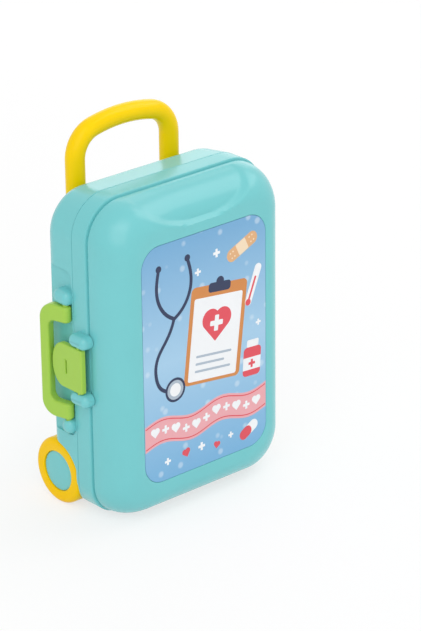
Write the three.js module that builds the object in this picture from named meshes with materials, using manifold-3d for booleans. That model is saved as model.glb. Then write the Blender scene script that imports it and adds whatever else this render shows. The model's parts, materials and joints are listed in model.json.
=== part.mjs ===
// A child's doctor-set case shaped like a small trolley suitcase: two moulded half shells hinged on
// the right, a snap latch and a carry handle on the left, a pull handle behind and two wheels.
// Millimetres. X is to the right, Y to the back and Z up. The origin is on the ground, under the
// middle of the parting plane between the two shells.
import * as THREE from "three";
import { mergeVertices } from "three/addons/utils/BufferGeometryUtils.js";
import Module from "manifold-3d";

const wasm = await Module();
wasm.setup();

// Case
const caseWidth = 206;
const caseHeight = 301;
const topCornerRadius = 37;
const topCornerShrinkShare = 0.5;
const bottomCornerRadius = 33.5;
const groundClearance = 1.5;
const wall = 2.6;
const partingGap = 0.4;
const seatGap = 0.3;
const overrun = 4;
const caseTop = groundClearance + caseHeight;
const caseMiddle = groundClearance + caseHeight / 2;
const sideX = caseWidth / 2;

// Rear shell
const rearDepth = 42;
const rearTaper = 0.8;
const rearTopDrop = 2.4;
const rearFillet = 18;
const lipThickness = 1.7;
const lipReach = 3;
const lipRoot = 5;
const lipClearance = 0.5;

// Front lid
const lidDepth = 56.5;
const rimDepth = 17.4;
const grooveWidth = 2.7;
const grooveDepth = 2.3;
const crownStep = 2;
const crownInset = 26;
const crownBottomFill = 1.2;
const scoopHalfWidth = 68;
const scoopHalfHeight = 31;
const scoopDepth = 4;

// Label
const labelSideMargin = 31;
const labelTopMargin = 39.8;
const labelBottomMargin = 36.2;
const labelRadius = 20;
const labelThickness = 0.8;
const labelRecess = 1.3;

// Recess in the rear shell's left side, which the carry handle folds into
const recessDepth = 3;
const recessFront = 2;
const recessBelowLug = 3.6;
const recessAboveLug = 17.6;
const recessCorner = 8;

// Carry handle: a U in the side's plane, which turns about an upright axis
const carryDrop = 3.3;
const carryPivotY = 7.5;
const carryThickness = 10;
const carryFloorGap = 0.6;
const carryReach = 26.5;
const carryGripWidth = 9.8;
const carryArmInner = 38.5;
const carryArmWidth = 15.5;
const carryOuterCorner = 15;
const carryInnerCorner = 6;
const carryEdge = 2;
const carryRestAngle = 13;
const carryStubRadius = 2.6;
const carryStubLength = 5.5;
const carryLugFront = 0.7;
const carryLugLengths = [13.5, 20.5];
const carryLugHeight = 14;
const carryLugProud = 10.5;
const lugCorner = 5.5;
const lugEdge = 2.5;

// Latch: a tab that turns about an upright axis between two lugs on the lid
const latchDrop = 3.8;
const latchHeight = 42;
const latchPinY = -13;
const latchPinOffset = 5.5;
const latchFront = 6;
const latchTail = 27;
const latchBulge = 7.5;
const latchInside = 2.5;
const latchOutside = 3;
const latchEdge = 1.2;
const latchStubRadius = 2.1;
const latchStubLength = 4.5;
const latchLugLength = 23;
const latchLugHeight = 12.5;
const latchLugProud = 10;
const latchPocketDepth = 2.5;
const latchPocketRamp = 4;
const latchPocketFront = 9;
const latchPocketBack = 6.5;
const latchHookLength = 2.4;
const latchHookPlace = 22.5;
const latchHookHeight = 26;
const latchRibHeight = 14;
const latchRibTallness = 0.5;
const fingerRibHeight = 14;
const fingerRibWidth = 1.6;
const fingerRibProud = 0.8;
const fingerRibPlace = 15.5;

// Hinges on the right side
const hingeOffset = 4.4;
const hingeRadius = 4;
const hingeEndMargin = 70.5;
const hingePinRadius = 1.6;
const hingeLidKnuckle = 12;
const hingeRearKnuckle = 10;
const hingePinHead = 2.6;
const hingePinHeadHeight = 1.5;
const runningGap = 0.25;
const sideGap = 0.4;

// Wheels
const wheelRadius = 31.2;
const wheelWidth = 22;
const wheelY = 33.4;
const wheelFaceInset = 2.5;
const wheelEdge = 5;
const wheelHubRadius = 8;
const wheelRimThickness = 5;
const wheelHollow = 8;
const archClearance = 0.9;
const archSideGap = 2;
const capRadius = 18.8;
const capThickness = 2.8;
const capDome = 0.9;
const capSeat = 4.2;
const axleRadius = 2.5;
const nutRadius = 5;
const nutThickness = 2;
const nutPocket = 4;
const axleTunnelRadius = 6;

// Pull handle and the housing that guides it
const handleHalfSpan = 54.3;
const handleRadius = 9;
const handleY = 52.5;
const handleRise = 40;
const handleCorner = 27;
const handleCrownAngle = 13;
const handleBore = 6.4;
const handleBoreDepth = 182;
const handleEndLift = 22;
const stopFlange = 5;
const stopRadius = 10.4;
const stopSpigot = 16;
const housingTopDrop = 30.5;
const housingHeight = 176;
const housingSideMargin = 7;
const housingPlate = 3;
const housingCorner = 12;
const housingEdge = 1;
const sleeveWall = 2.6;
const sleeveClearance = 1;
const guideLength = 30;
const bridgeProud = 5;
const bridgeSideGap = 14.3;
const screwSideGap = 1.3;
const screwEdge = 14;
const screwRadius = 1.5;
const screwHeadRadius = 3.4;
const screwHeadHeight = 2;
const screwLength = 12;
const screwSlotWidth = 1;
const screwSlotLength = 4.4;
const screwSlotDepth = 1;
const bossRadius = 4;
const bossDepth = 13;
const pilotRadius = 1.8;

// Standing ribs under the shells
const standRibHalfWidth = 20;
const standRibFront = 6;
const standRibBack = 14;
const skidX = 62;
const skidWidth = 12;
const skidNear = 4;
const skidFar = 14;

// Colours of the mouldings
const teal = 0x73ccd2;
const yellow = 0xfcd405;
const green = 0xa8d458;
const wheelYellow = 0xf8c80f;
const labelBlue = 0x8fc4e8;
const steel = 0xb8bcc0;
const darkGrey = 0x4a4d50;

const cornerSteps = 6;
const filletSteps = 5;
const ovalSteps = 28;
const roundSides = 28;
const smallSides = 16;
const tinySides = 10;

// A closed mesh as a solid, whichever way its faces are wound
function solid(geometry) {
  const bare = geometry.index ? geometry.toNonIndexed() : geometry;
  bare.deleteAttribute("normal");
  bare.deleteAttribute("uv");
  const merged = mergeVertices(bare);
  const points = merged.attributes.position.array;
  const faces = new Uint32Array(merged.index.array);
  const a = new THREE.Vector3();
  const b = new THREE.Vector3();
  const c = new THREE.Vector3();
  let volume = 0;
  for (let i = 0; i < faces.length; i += 3) {
    a.fromArray(points, 3 * faces[i]);
    b.fromArray(points, 3 * faces[i + 1]);
    c.fromArray(points, 3 * faces[i + 2]);
    volume += a.dot(b.cross(c));
  }
  if (volume < 0)
    for (let i = 0; i < faces.length; i += 3)
      [faces[i + 1], faces[i + 2]] = [faces[i + 2], faces[i + 1]];
  return new wasm.Manifold(
    new wasm.Mesh({ numProp: 3, vertProperties: points, triVerts: faces }),
  );
}

// A skin through rings that all have the same number of points, closed flat at both ends
function loft(rings) {
  const count = rings[0].length;
  const points = rings.flat();
  const ends = [rings[0], rings[rings.length - 1]].map((ring) =>
    ring.reduce((sum, p) => sum.add(p), new THREE.Vector3()).divideScalar(count),
  );
  const index = [];
  for (let r = 0; r < rings.length - 1; r++)
    for (let i = 0; i < count; i++) {
      const j = (i + 1) % count;
      const low = r * count;
      const high = low + count;
      index.push(low + i, low + j, high + j, low + i, high + j, high + i);
    }
  const first = points.length;
  const lastRing = (rings.length - 1) * count;
  for (let i = 0; i < count; i++) {
    const j = (i + 1) % count;
    index.push(first, j, i, first + 1, lastRing + i, lastRing + j);
  }
  const geometry = new THREE.BufferGeometry().setFromPoints([...points, ...ends]);
  geometry.setIndex(index);
  return solid(geometry);
}

// The case's outline at one place along Y, drawn in by an inset, and by more at its top and bottom
function caseRing(y, inset, topDrop = 0, bottomRise = 0) {
  const halfWidth = sideX - inset;
  const top = caseTop - inset - topDrop;
  const bottom = groundClearance + inset + bottomRise;
  const topRadius = topCornerRadius - inset * topCornerShrinkShare;
  const ring = [];
  for (let quarter = 0; quarter < 4; quarter++) {
    const signX = quarter === 0 || quarter === 3 ? 1 : -1;
    const radius = quarter < 2 ? topRadius : bottomCornerRadius;
    const centreZ = quarter < 2 ? top - radius : bottom + radius;
    for (let k = 0; k <= cornerSteps; k++) {
      const angle = ((quarter + k / cornerSteps) * Math.PI) / 2;
      ring.push(
        new THREE.Vector3(
          signX * (halfWidth - radius) + radius * Math.cos(angle),
          y,
          centreZ + radius * Math.sin(angle),
        ),
      );
    }
  }
  return ring;
}

// A body through rings at [y, inset, drop of its top, rise of its bottom]
function caseLoft(profile) {
  return loft(profile.map((place) => caseRing(...place)));
}

// A quarter of an ellipse in the profile, from the end of a side to the flat of a face
function quarter(startY, endY, startInset, depth, topDrop = 0, bottomRise = 0) {
  const profile = [];
  for (let k = 1; k <= filletSteps; k++) {
    const angle = ((k / filletSteps) * Math.PI) / 2;
    profile.push([
      startY + (endY - startY) * Math.sin(angle),
      startInset + depth * (1 - Math.cos(angle)),
      topDrop,
      bottomRise,
    ]);
  }
  return profile;
}

function box(x0, x1, y0, y1, z0, z1) {
  const geometry = new THREE.BoxGeometry(x1 - x0, y1 - y0, z1 - z0);
  geometry.translate((x0 + x1) / 2, (y0 + y1) / 2, (z0 + z1) / 2);
  return solid(geometry);
}

// A cylinder along Z, X or Y between two places, with its centre in the other two directions
function cylinderZ(x, y, z0, z1, radius, sides = roundSides) {
  const geometry = new THREE.CylinderGeometry(radius, radius, z1 - z0, sides);
  geometry.rotateX(Math.PI / 2);
  geometry.translate(x, y, (z0 + z1) / 2);
  return solid(geometry);
}

function cylinderX(y, z, x0, x1, radius, sides = roundSides) {
  const geometry = new THREE.CylinderGeometry(radius, radius, x1 - x0, sides);
  geometry.rotateZ(Math.PI / 2);
  geometry.translate((x0 + x1) / 2, y, z);
  return solid(geometry);
}

function cylinderY(x, z, y0, y1, radius, sides = roundSides) {
  const geometry = new THREE.CylinderGeometry(radius, radius, y1 - y0, sides);
  geometry.translate(x, (y0 + y1) / 2, z);
  return solid(geometry);
}

// A rectangle with round corners, as a flat shape
function roundedRectangle(u0, u1, v0, v1, radius) {
  const shape = new THREE.Shape();
  shape.moveTo(u0 + radius, v0);
  shape.lineTo(u1 - radius, v0);
  shape.absarc(u1 - radius, v0 + radius, radius, -Math.PI / 2, 0);
  shape.lineTo(u1, v1 - radius);
  shape.absarc(u1 - radius, v1 - radius, radius, 0, Math.PI / 2);
  shape.lineTo(u0 + radius, v1);
  shape.absarc(u0 + radius, v1 - radius, radius, Math.PI / 2, Math.PI);
  shape.lineTo(u0, v0 + radius);
  shape.absarc(u0 + radius, v0 + radius, radius, Math.PI, (3 * Math.PI) / 2);
  return shape;
}

// Extrudes a flat shape between two depths, with its edges bevelled by "edge"
function extrude(shape, from, to, edge, place) {
  const geometry = new THREE.ExtrudeGeometry(shape, {
    depth: to - from - 2 * edge,
    bevelEnabled: edge > 0,
    bevelThickness: edge,
    bevelSize: edge,
    bevelOffset: -edge,
    bevelSegments: 2,
    curveSegments: cornerSteps,
  });
  geometry.translate(0, 0, from + edge);
  geometry.applyMatrix4(place);
  return solid(geometry);
}

const axes = {
  x: new THREE.Vector3(1, 0, 0),
  y: new THREE.Vector3(0, 1, 0),
  z: new THREE.Vector3(0, 0, 1),
};
const alongX = new THREE.Matrix4().makeBasis(axes.y, axes.z, axes.x);
const alongY = new THREE.Matrix4().makeBasis(axes.x, axes.z, axes.y);
const alongZ = new THREE.Matrix4();

// Shapes are drawn in (y, z), (x, z) and (x, y)
const extrudeX = (shape, x0, x1, edge = 0) => extrude(shape, x0, x1, edge, alongX);
const extrudeY = (shape, y0, y1, edge = 0) => extrude(shape, y0, y1, edge, alongY);
const extrudeZ = (shape, z0, z1, edge = 0) => extrude(shape, z0, z1, edge, alongZ);

// A body turned about the X axis from [radius, x] pairs
function turnedX(profile, y, z) {
  const points = profile.map(([radius, x]) => new THREE.Vector2(radius, x));
  const geometry = new THREE.LatheGeometry(points, roundSides);
  geometry.rotateZ(-Math.PI / 2);
  geometry.translate(0, y, z);
  return solid(geometry);
}

const cut = (body, ...tools) => tools.reduce((rest, tool) => rest.subtract(tool), body);
const join = (body, ...more) => more.reduce((sum, piece) => sum.add(piece), body);

const caseGroup = new THREE.Group();

function addMesh(name, body, colour, roughness = 0.3, metalness = 0) {
  const made = body.getMesh();
  const geometry = new THREE.BufferGeometry();
  geometry.setAttribute("position", new THREE.BufferAttribute(made.vertProperties, 3));
  geometry.setIndex(new THREE.BufferAttribute(made.triVerts, 1));
  geometry.computeVertexNormals();
  const material = new THREE.MeshStandardMaterial({ color: colour, roughness, metalness });
  const mesh = new THREE.Mesh(geometry, material);
  mesh.name = name;
  caseGroup.add(mesh);
  return mesh;
}

// Places that more than one piece shares
const hingeX = sideX + hingeOffset;
const hingeHeights = [groundClearance + hingeEndMargin, caseTop - hingeEndMargin];
const carryPivotX = -(sideX - recessDepth + carryFloorGap + carryThickness / 2);
const carryMiddle = caseMiddle - carryDrop;
const carryArmOuter = carryArmInner + carryArmWidth;
const recessBottom = carryMiddle - carryArmOuter - sideGap - carryLugHeight - recessBelowLug;
const recessTop = carryMiddle + carryArmOuter + sideGap + carryLugHeight + recessAboveLug;
const latchMiddle = caseMiddle - latchDrop;
const latchPinX = sideX + latchPinOffset;
const latchPocketX = sideX - latchPocketDepth;
const lugHalf = latchHeight / 2 + sideGap;
const wheelFaceX = sideX - wheelFaceInset;
const wheelInnerX = wheelFaceX - wheelWidth;
const archRadius = wheelRadius + archClearance;
const archInnerX = wheelInnerX - archSideGap;
const housingFront = rearDepth + seatGap;
const housingTop = caseTop - housingTopDrop;
const housingBottom = housingTop - housingHeight;
const sleeveInner = stopRadius + sleeveClearance;
const sleeveOuter = sleeveInner + sleeveWall;
const screwSpreadX = handleHalfSpan + sleeveOuter + screwSideGap + screwHeadRadius;
const housingHalfWidth = screwSpreadX + housingSideMargin;
const handleTop = caseTop + handleRise;
const handleBottom = housingBottom + handleEndLift;
const screwHeights = [
  housingBottom + screwEdge,
  (housingBottom + housingTop) / 2,
  housingTop - screwEdge,
];
const screwPlaces = [-screwSpreadX, screwSpreadX].flatMap((x) => screwHeights.map((z) => [x, z]));
const rearSeam = partingGap / 2;

// The pivot lugs of the handle or the latch: one above and one below the piece they hold
function lugs(front, lengths, middle, half, height, rootX, proudX, pinX, pinY, pinRadius, pinDepth) {
  const parts = [];
  for (const [side, length] of [[-1, lengths[0]], [1, lengths[1]]]) {
    const near = middle + side * half;
    const far = near + side * height;
    const shape = roundedRectangle(
      front,
      front + length,
      Math.min(near, far),
      Math.max(near, far),
      lugCorner,
    );
    const hole = near + side * pinDepth;
    const lug = extrudeX(shape, -proudX, -rootX, lugEdge);
    const socket = cylinderZ(
      pinX,
      pinY,
      Math.min(near - side * overrun, hole),
      Math.max(near - side * overrun, hole),
      pinRadius,
      smallSides,
    );
    parts.push({ lug, socket });
  }
  return parts;
}

function hingeKnuckles(ranges, webY0, webY1) {
  return ranges.map(([z0, z1]) =>
    join(
      cylinderZ(hingeX, 0, z0, z1, hingeRadius, smallSides),
      box(sideX - wall / 2, hingeX, webY0, webY1, z0, z1),
    ),
  );
}

function hingeBores() {
  return hingeHeights.map((z) =>
    cylinderZ(
      hingeX,
      0,
      z - hingeLidKnuckle / 2 - sideGap - hingeRearKnuckle - overrun,
      z + hingeLidKnuckle / 2 + sideGap + hingeRearKnuckle + overrun,
      hingePinRadius + runningGap,
      smallSides,
    ),
  );
}

function skids(y0, y1) {
  const half = skidWidth / 2;
  const footing = groundClearance + wall / 2;
  return [-skidX, skidX].map((x) => box(x - half, x + half, y0, y1, 0, footing));
}

function rearShell() {
  const filletStart = rearDepth - rearFillet;
  const outer = caseLoft([
    [rearSeam, 0],
    [filletStart, rearTaper, rearTopDrop, -rearTaper],
    ...quarter(filletStart, rearDepth, rearTaper, rearFillet, rearTopDrop, -rearTaper),
  ]);
  const cavity = caseLoft([
    [-overrun, wall],
    [0, wall],
    [filletStart, rearTaper + wall, rearTopDrop, -rearTaper],
    ...quarter(
      filletStart,
      rearDepth - wall,
      rearTaper + wall,
      rearFillet - wall,
      rearTopDrop,
      -rearTaper,
    ),
  ]);
  let body = outer.subtract(cavity);

  // The locating lip that enters the lid's rim
  const lipInset = wall + lipClearance;
  const lip = caseLoft([
    [-lipReach, lipInset],
    [rearSeam + seatGap, lipInset],
  ]).add(
    caseLoft([
      [rearSeam + seatGap, wall / 2],
      [lipRoot, wall / 2 + rearTaper / 2],
    ]),
  );
  const lipBore = caseLoft([
    [-lipReach - overrun, lipInset + lipThickness],
    [lipRoot + overrun, lipInset + lipThickness],
  ]);
  body = body.add(lip.subtract(lipBore));

  // The side recess, with its own wall behind it
  const recessWall = box(
    -sideX,
    -(sideX - recessDepth - wall),
    rearSeam,
    rearDepth,
    recessBottom - wall,
    recessTop + wall,
  );
  const recessShape = roundedRectangle(
    recessFront,
    rearDepth + recessCorner + overrun,
    recessBottom,
    recessTop,
    recessCorner,
  );
  const recess = extrudeX(recessShape, -(sideX + overrun), -(sideX - recessDepth));
  body = body.add(recessWall.intersect(outer)).subtract(recess);

  const carryLugs = lugs(
    carryLugFront,
    carryLugLengths,
    carryMiddle,
    carryArmOuter + sideGap,
    carryLugHeight,
    sideX - recessDepth - wall / 2,
    sideX - recessDepth + carryLugProud,
    carryPivotX,
    carryPivotY,
    carryStubRadius + runningGap,
    carryStubLength + runningGap,
  );
  for (const { lug, socket } of carryLugs) body = body.add(lug).subtract(socket);

  // The rib that the latch's hook snaps behind
  const ribBack = latchPinY + latchHookPlace - latchHookLength / 2 - sideGap;
  body = body.add(
    box(
      -(sideX + latchRibTallness),
      -(sideX - recessDepth - wall / 2),
      ribBack - latchHookLength,
      ribBack,
      latchMiddle - latchRibHeight,
      latchMiddle + latchRibHeight,
    ),
  );

  // Wheel arches with their own walls, and the tunnel that carries the axle between them
  const wellWalls = [-1, 1].map((side) =>
    cylinderX(
      wheelY,
      wheelRadius,
      Math.min(side * sideX, side * (archInnerX - wall)),
      Math.max(side * sideX, side * (archInnerX - wall)),
      archRadius + wall,
    ),
  );
  const arches = [-1, 1].map((side) =>
    cylinderX(
      wheelY,
      wheelRadius,
      Math.min(side * (sideX + overrun), side * archInnerX),
      Math.max(side * (sideX + overrun), side * archInnerX),
      archRadius,
    ),
  );
  const tunnel = cylinderX(wheelY, wheelRadius, -archInnerX, archInnerX, axleTunnelRadius, smallSides);
  const axleBore = cylinderX(
    wheelY,
    wheelRadius,
    -(archInnerX + overrun),
    archInnerX + overrun,
    axleRadius + runningGap,
    smallSides,
  );
  for (const well of [...wellWalls, tunnel]) body = body.add(well.intersect(outer));
  body = cut(body, ...arches, axleBore);

  // Bosses for the housing's screws
  for (const [x, z] of screwPlaces) {
    body = body.add(cylinderY(x, z, rearDepth - bossDepth, rearDepth - wall / 2, bossRadius, tinySides));
    body = body.subtract(
      cylinderY(x, z, rearDepth - bossDepth + wall, rearDepth + overrun, pilotRadius, tinySides),
    );
  }

  // Hinge knuckles, above and below the lid's own
  const ranges = hingeHeights.flatMap((z) => {
    const inner = hingeLidKnuckle / 2 + sideGap;
    return [
      [z - inner - hingeRearKnuckle, z - inner],
      [z + inner, z + inner + hingeRearKnuckle],
    ];
  });
  body = join(body, ...hingeKnuckles(ranges, rearSeam, hingeRadius));
  body = cut(body, ...hingeBores());

  // Stand rib under the middle, which reaches under the lid, and a skid near each side
  const footing = groundClearance + wall / 2;
  const half = standRibHalfWidth;
  return join(
    body,
    box(-half, half, -standRibFront, standRibBack, 0, groundClearance - sideGap),
    box(-half, half, rearSeam, standRibBack, 0, footing),
    ...skids(skidNear, skidFar),
  );
}

function frontLid() {
  const crownY = -(rimDepth + grooveWidth);
  const outer = caseLoft([
    [-rearSeam, 0],
    [-rimDepth, 0],
    [-rimDepth - grooveWidth / 2, grooveDepth],
    [crownY, crownStep, 0, -crownBottomFill],
    ...quarter(crownY, -lidDepth, crownStep, crownInset, 0, -crownBottomFill),
  ]);
  const cavity = caseLoft([
    [overrun, wall],
    [0, wall],
    [crownY, crownStep + wall, 0, -crownBottomFill],
    ...quarter(crownY, -(lidDepth - wall), crownStep + wall, crownInset - wall, 0, -crownBottomFill),
  ]);

  // The oval scoop in the top of the crown, with the wall behind it drawn back as far
  const scoopOval = (grow) => {
    const rim = [];
    for (let k = 0; k < ovalSteps; k++) {
      const angle = (k / ovalSteps) * 2 * Math.PI;
      rim.push(
        new THREE.Vector2(
          (scoopHalfWidth + grow) * Math.cos(angle),
          caseTop + (scoopHalfHeight + grow) * Math.sin(angle),
        ),
      );
    }
    return extrudeY(new THREE.Shape(rim), -(lidDepth + overrun), crownY - scoopDepth);
  };
  const sunk = [0, scoopDepth, 0];
  const backing = outer
    .translate([0, wall / 2, 0])
    .subtract(cavity.translate(sunk))
    .intersect(scoopOval(wall));
  const scoop = scoopOval(0).subtract(outer.translate(sunk));
  let body = outer.subtract(cavity).add(backing).subtract(scoop);

  // The label's recess
  const labelRoom = extrudeY(
    labelShape(seatGap),
    -(lidDepth + overrun),
    -(lidDepth - labelRecess),
  );
  body = body.subtract(labelRoom);

  // The latch's pocket, with its own wall behind it
  const pocketFront = latchPinY - latchPocketFront;
  const pocketBack = latchPinY + latchPocketBack;
  const pocketShape = new THREE.Shape([
    new THREE.Vector2(-(sideX + overrun), pocketFront - latchPocketRamp),
    new THREE.Vector2(-sideX, pocketFront - latchPocketRamp),
    new THREE.Vector2(-latchPocketX, pocketFront),
    new THREE.Vector2(-latchPocketX, pocketBack),
    new THREE.Vector2(-(sideX + overrun), pocketBack),
  ]);
  const pocketWall = box(
    -sideX,
    -(latchPocketX - wall),
    pocketFront - latchPocketRamp - wall,
    pocketBack + wall,
    latchMiddle - lugHalf - wall,
    latchMiddle + lugHalf + wall,
  );
  const pocket = extrudeZ(pocketShape, latchMiddle - lugHalf, latchMiddle + lugHalf);
  body = body.add(pocketWall.intersect(outer)).subtract(pocket);

  const latchLugs = lugs(
    latchPinY - latchLugLength / 2,
    [latchLugLength, latchLugLength],
    latchMiddle,
    lugHalf,
    latchLugHeight,
    sideX - wall / 2,
    sideX + latchLugProud,
    -latchPinX,
    latchPinY,
    latchStubRadius + runningGap,
    latchStubLength + runningGap,
  );
  for (const { lug, socket } of latchLugs) body = body.add(lug).subtract(socket);

  const ranges = hingeHeights.map((z) => [z - hingeLidKnuckle / 2, z + hingeLidKnuckle / 2]);
  body = join(body, ...hingeKnuckles(ranges, -hingeRadius, -rearSeam));
  body = cut(body, ...hingeBores());
  return join(body, ...skids(-skidFar, -skidNear));
}

function labelShape(grow) {
  return roundedRectangle(
    -(sideX - labelSideMargin + grow),
    sideX - labelSideMargin + grow,
    groundClearance + labelBottomMargin - grow,
    caseTop - labelTopMargin + grow,
    labelRadius + grow,
  );
}

function frontLabel() {
  const back = -(lidDepth - labelRecess) - seatGap;
  return extrudeY(labelShape(0), back - labelThickness, back);
}

// The carry handle, drawn about its own pivot axis and folded straight back
function carryHandle() {
  const end = carryThickness / 2;
  const outer = roundedRectangle(
    -end - carryOuterCorner,
    carryReach,
    carryMiddle - carryArmOuter,
    carryMiddle + carryArmOuter,
    carryOuterCorner,
  );
  const inner = roundedRectangle(
    -end - carryOuterCorner - overrun,
    carryReach - carryGripWidth,
    carryMiddle - carryArmInner,
    carryMiddle + carryArmInner,
    carryInnerCorner,
  );
  const plan = new THREE.Shape();
  plan.moveTo(end, 0);
  plan.lineTo(end, carryReach + overrun);
  plan.lineTo(-end, carryReach + overrun);
  plan.lineTo(-end, 0);
  plan.absarc(0, 0, end, Math.PI, 2 * Math.PI);
  const slab = extrudeX(outer, -end, end, carryEdge);
  const gap = extrudeX(inner, -end - overrun, end + overrun);
  const kept = extrudeZ(plan, carryMiddle - 2 * carryArmOuter, carryMiddle + 2 * carryArmOuter);
  let body = slab.subtract(gap).intersect(kept);
  for (const side of [-1, 1]) {
    const root = carryMiddle + side * (carryArmOuter - carryArmWidth / 2);
    const tip = carryMiddle + side * (carryArmOuter + carryStubLength);
    body = body.add(
      cylinderZ(0, 0, Math.min(root, tip), Math.max(root, tip), carryStubRadius, smallSides),
    );
  }
  return body;
}

// The latch, drawn about its own pin
function latch() {
  const half = latchHeight / 2;
  const shape = new THREE.Shape();
  shape.moveTo(-latchFront, -half);
  shape.lineTo(latchTail - latchBulge, -half);
  shape.bezierCurveTo(
    latchTail + latchBulge / 2,
    -half + latchEdge,
    latchTail + latchBulge,
    -half / 2,
    latchTail + latchBulge,
    0,
  );
  shape.bezierCurveTo(
    latchTail + latchBulge,
    half / 2,
    latchTail + latchBulge / 2,
    half - latchEdge,
    latchTail - latchBulge,
    half,
  );
  shape.lineTo(-latchFront, half);
  const plate = extrudeX(shape, -latchOutside, latchInside, latchEdge);
  const hook = box(
    0,
    latchPinX - sideX - latchRibTallness - seatGap,
    latchHookPlace,
    latchHookPlace + latchHookLength,
    -latchHookHeight / 2,
    latchHookHeight / 2,
  );
  const rib = box(
    -latchOutside - fingerRibProud,
    0,
    fingerRibPlace - fingerRibWidth / 2,
    fingerRibPlace + fingerRibWidth / 2,
    -fingerRibHeight / 2,
    fingerRibHeight / 2,
  );
  const stub = cylinderZ(
    0,
    0,
    -half - latchStubLength,
    half + latchStubLength,
    latchStubRadius,
    smallSides,
  );
  return join(plate, hook, rib, stub);
}

function hingePin(z) {
  const end = hingeLidKnuckle / 2 + sideGap + hingeRearKnuckle;
  const head = z + end + seatGap;
  const top = head + hingePinHeadHeight;
  const shank = cylinderZ(hingeX, 0, z - end, (head + top) / 2, hingePinRadius, smallSides);
  return shank.add(cylinderZ(hingeX, 0, head, top, hingePinHead, smallSides));
}

// Wheel, hub cap and push nut are turned about the axle, with the outer face at +x
function wheel() {
  const seat = wheelFaceX - capSeat;
  const rimInner = wheelRadius - wheelRimThickness;
  const bore = axleRadius + runningGap;
  const profile = [
    [bore, wheelInnerX],
    [wheelHubRadius, wheelInnerX],
    [wheelHubRadius, wheelInnerX + wheelHollow],
    [rimInner, wheelInnerX + wheelHollow],
    [rimInner, wheelInnerX],
    [wheelRadius - wheelEdge / 2, wheelInnerX],
    [wheelRadius, wheelInnerX + wheelEdge / 2],
  ];
  for (let k = 0; k <= filletSteps; k++) {
    const angle = ((k / filletSteps) * Math.PI) / 2;
    profile.push([
      wheelRadius - wheelEdge * (1 - Math.cos(angle)),
      wheelFaceX - wheelEdge * (1 - Math.sin(angle)),
    ]);
  }
  profile.push(
    [capRadius + seatGap + wheelEdge / 4, wheelFaceX],
    [capRadius + seatGap, wheelFaceX - wheelEdge / 4],
    [capRadius + seatGap, seat],
    [nutRadius + seatGap, seat],
    [nutRadius + seatGap, seat - nutPocket],
    [bore, seat - nutPocket],
    [bore, wheelInnerX],
  );
  return turnedX(profile, wheelY, wheelRadius);
}

function hubCap() {
  const back = wheelFaceX - capSeat + seatGap;
  const front = back + capThickness;
  const profile = [[0, back], [capRadius, back], [capRadius, front - capDome]];
  for (let k = 1; k < filletSteps; k++) {
    const share = 1 - k / filletSteps;
    profile.push([capRadius * share, front - capDome * share * share]);
  }
  profile.push([0, front]);
  return turnedX(profile, wheelY, wheelRadius);
}

function pushNut() {
  const outerX = wheelFaceX - capSeat - sideGap;
  const bore = axleRadius + runningGap / 2;
  return turnedX(
    [
      [bore, outerX - nutThickness],
      [nutRadius, outerX - nutThickness],
      [nutRadius, outerX - nutThickness / 2],
      [bore + nutThickness / 2, outerX],
      [bore, outerX],
      [bore, outerX - nutThickness],
    ],
    wheelY,
    wheelRadius,
  );
}

function axle() {
  const end = wheelFaceX - capSeat - sideGap / 2;
  return cylinderX(wheelY, wheelRadius, -end, end, axleRadius, smallSides);
}

// The pull handle: a bent tube, hollow up to the bend
function pullHandle() {
  const crownAngle = THREE.MathUtils.degToRad(handleCrownAngle);
  const bendAngle = Math.PI / 2 - crownAngle;
  const bendWidth = handleCorner * (1 - Math.cos(bendAngle));
  const crownRadius = (handleHalfSpan - bendWidth) / Math.sin(crownAngle);
  const crownRise = crownRadius * (1 - Math.cos(crownAngle));
  const bendZ = handleTop - crownRise - handleCorner * Math.sin(bendAngle);
  const route = [[-handleHalfSpan, handleBottom, 0]];
  for (let k = 0; k <= filletSteps * 2; k++) {
    const angle = (k / (filletSteps * 2)) * bendAngle;
    route.push([
      -handleHalfSpan + handleCorner * (1 - Math.cos(angle)),
      bendZ + handleCorner * Math.sin(angle),
      angle,
    ]);
  }
  for (const share of [2 / 3, 1 / 3]) {
    const angle = crownAngle * share;
    route.push([
      -crownRadius * Math.sin(angle),
      handleTop - crownRadius * (1 - Math.cos(angle)),
      Math.PI / 2 - angle,
    ]);
  }
  const mirrored = route.map(([x, z, angle]) => [-x, z, Math.PI - angle]).reverse();
  const rings = [...route, [0, handleTop, Math.PI / 2], ...mirrored].map(
    ([x, z, angle]) => {
      const across = new THREE.Vector3(-Math.cos(angle), 0, Math.sin(angle));
      const ring = [];
      for (let i = 0; i < smallSides; i++) {
        const turn = (i / smallSides) * 2 * Math.PI;
        ring.push(
          new THREE.Vector3(x, handleY, z)
            .addScaledVector(across, handleRadius * Math.cos(turn))
            .addScaledVector(axes.y, handleRadius * Math.sin(turn)),
        );
      }
      return ring;
    },
  );
  const bores = [-1, 1].map((side) =>
    cylinderZ(
      side * handleHalfSpan,
      handleY,
      handleBottom - overrun,
      handleBottom + handleBoreDepth,
      handleBore,
      smallSides,
    ),
  );
  return cut(loft(rings), ...bores);
}

function handleStop(x) {
  const top = handleBottom - seatGap;
  return cylinderZ(x, handleY, top - stopFlange, top, stopRadius).add(
    cylinderZ(x, handleY, top - stopFlange / 2, top + stopSpigot, handleBore - seatGap, smallSides),
  );
}

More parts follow.
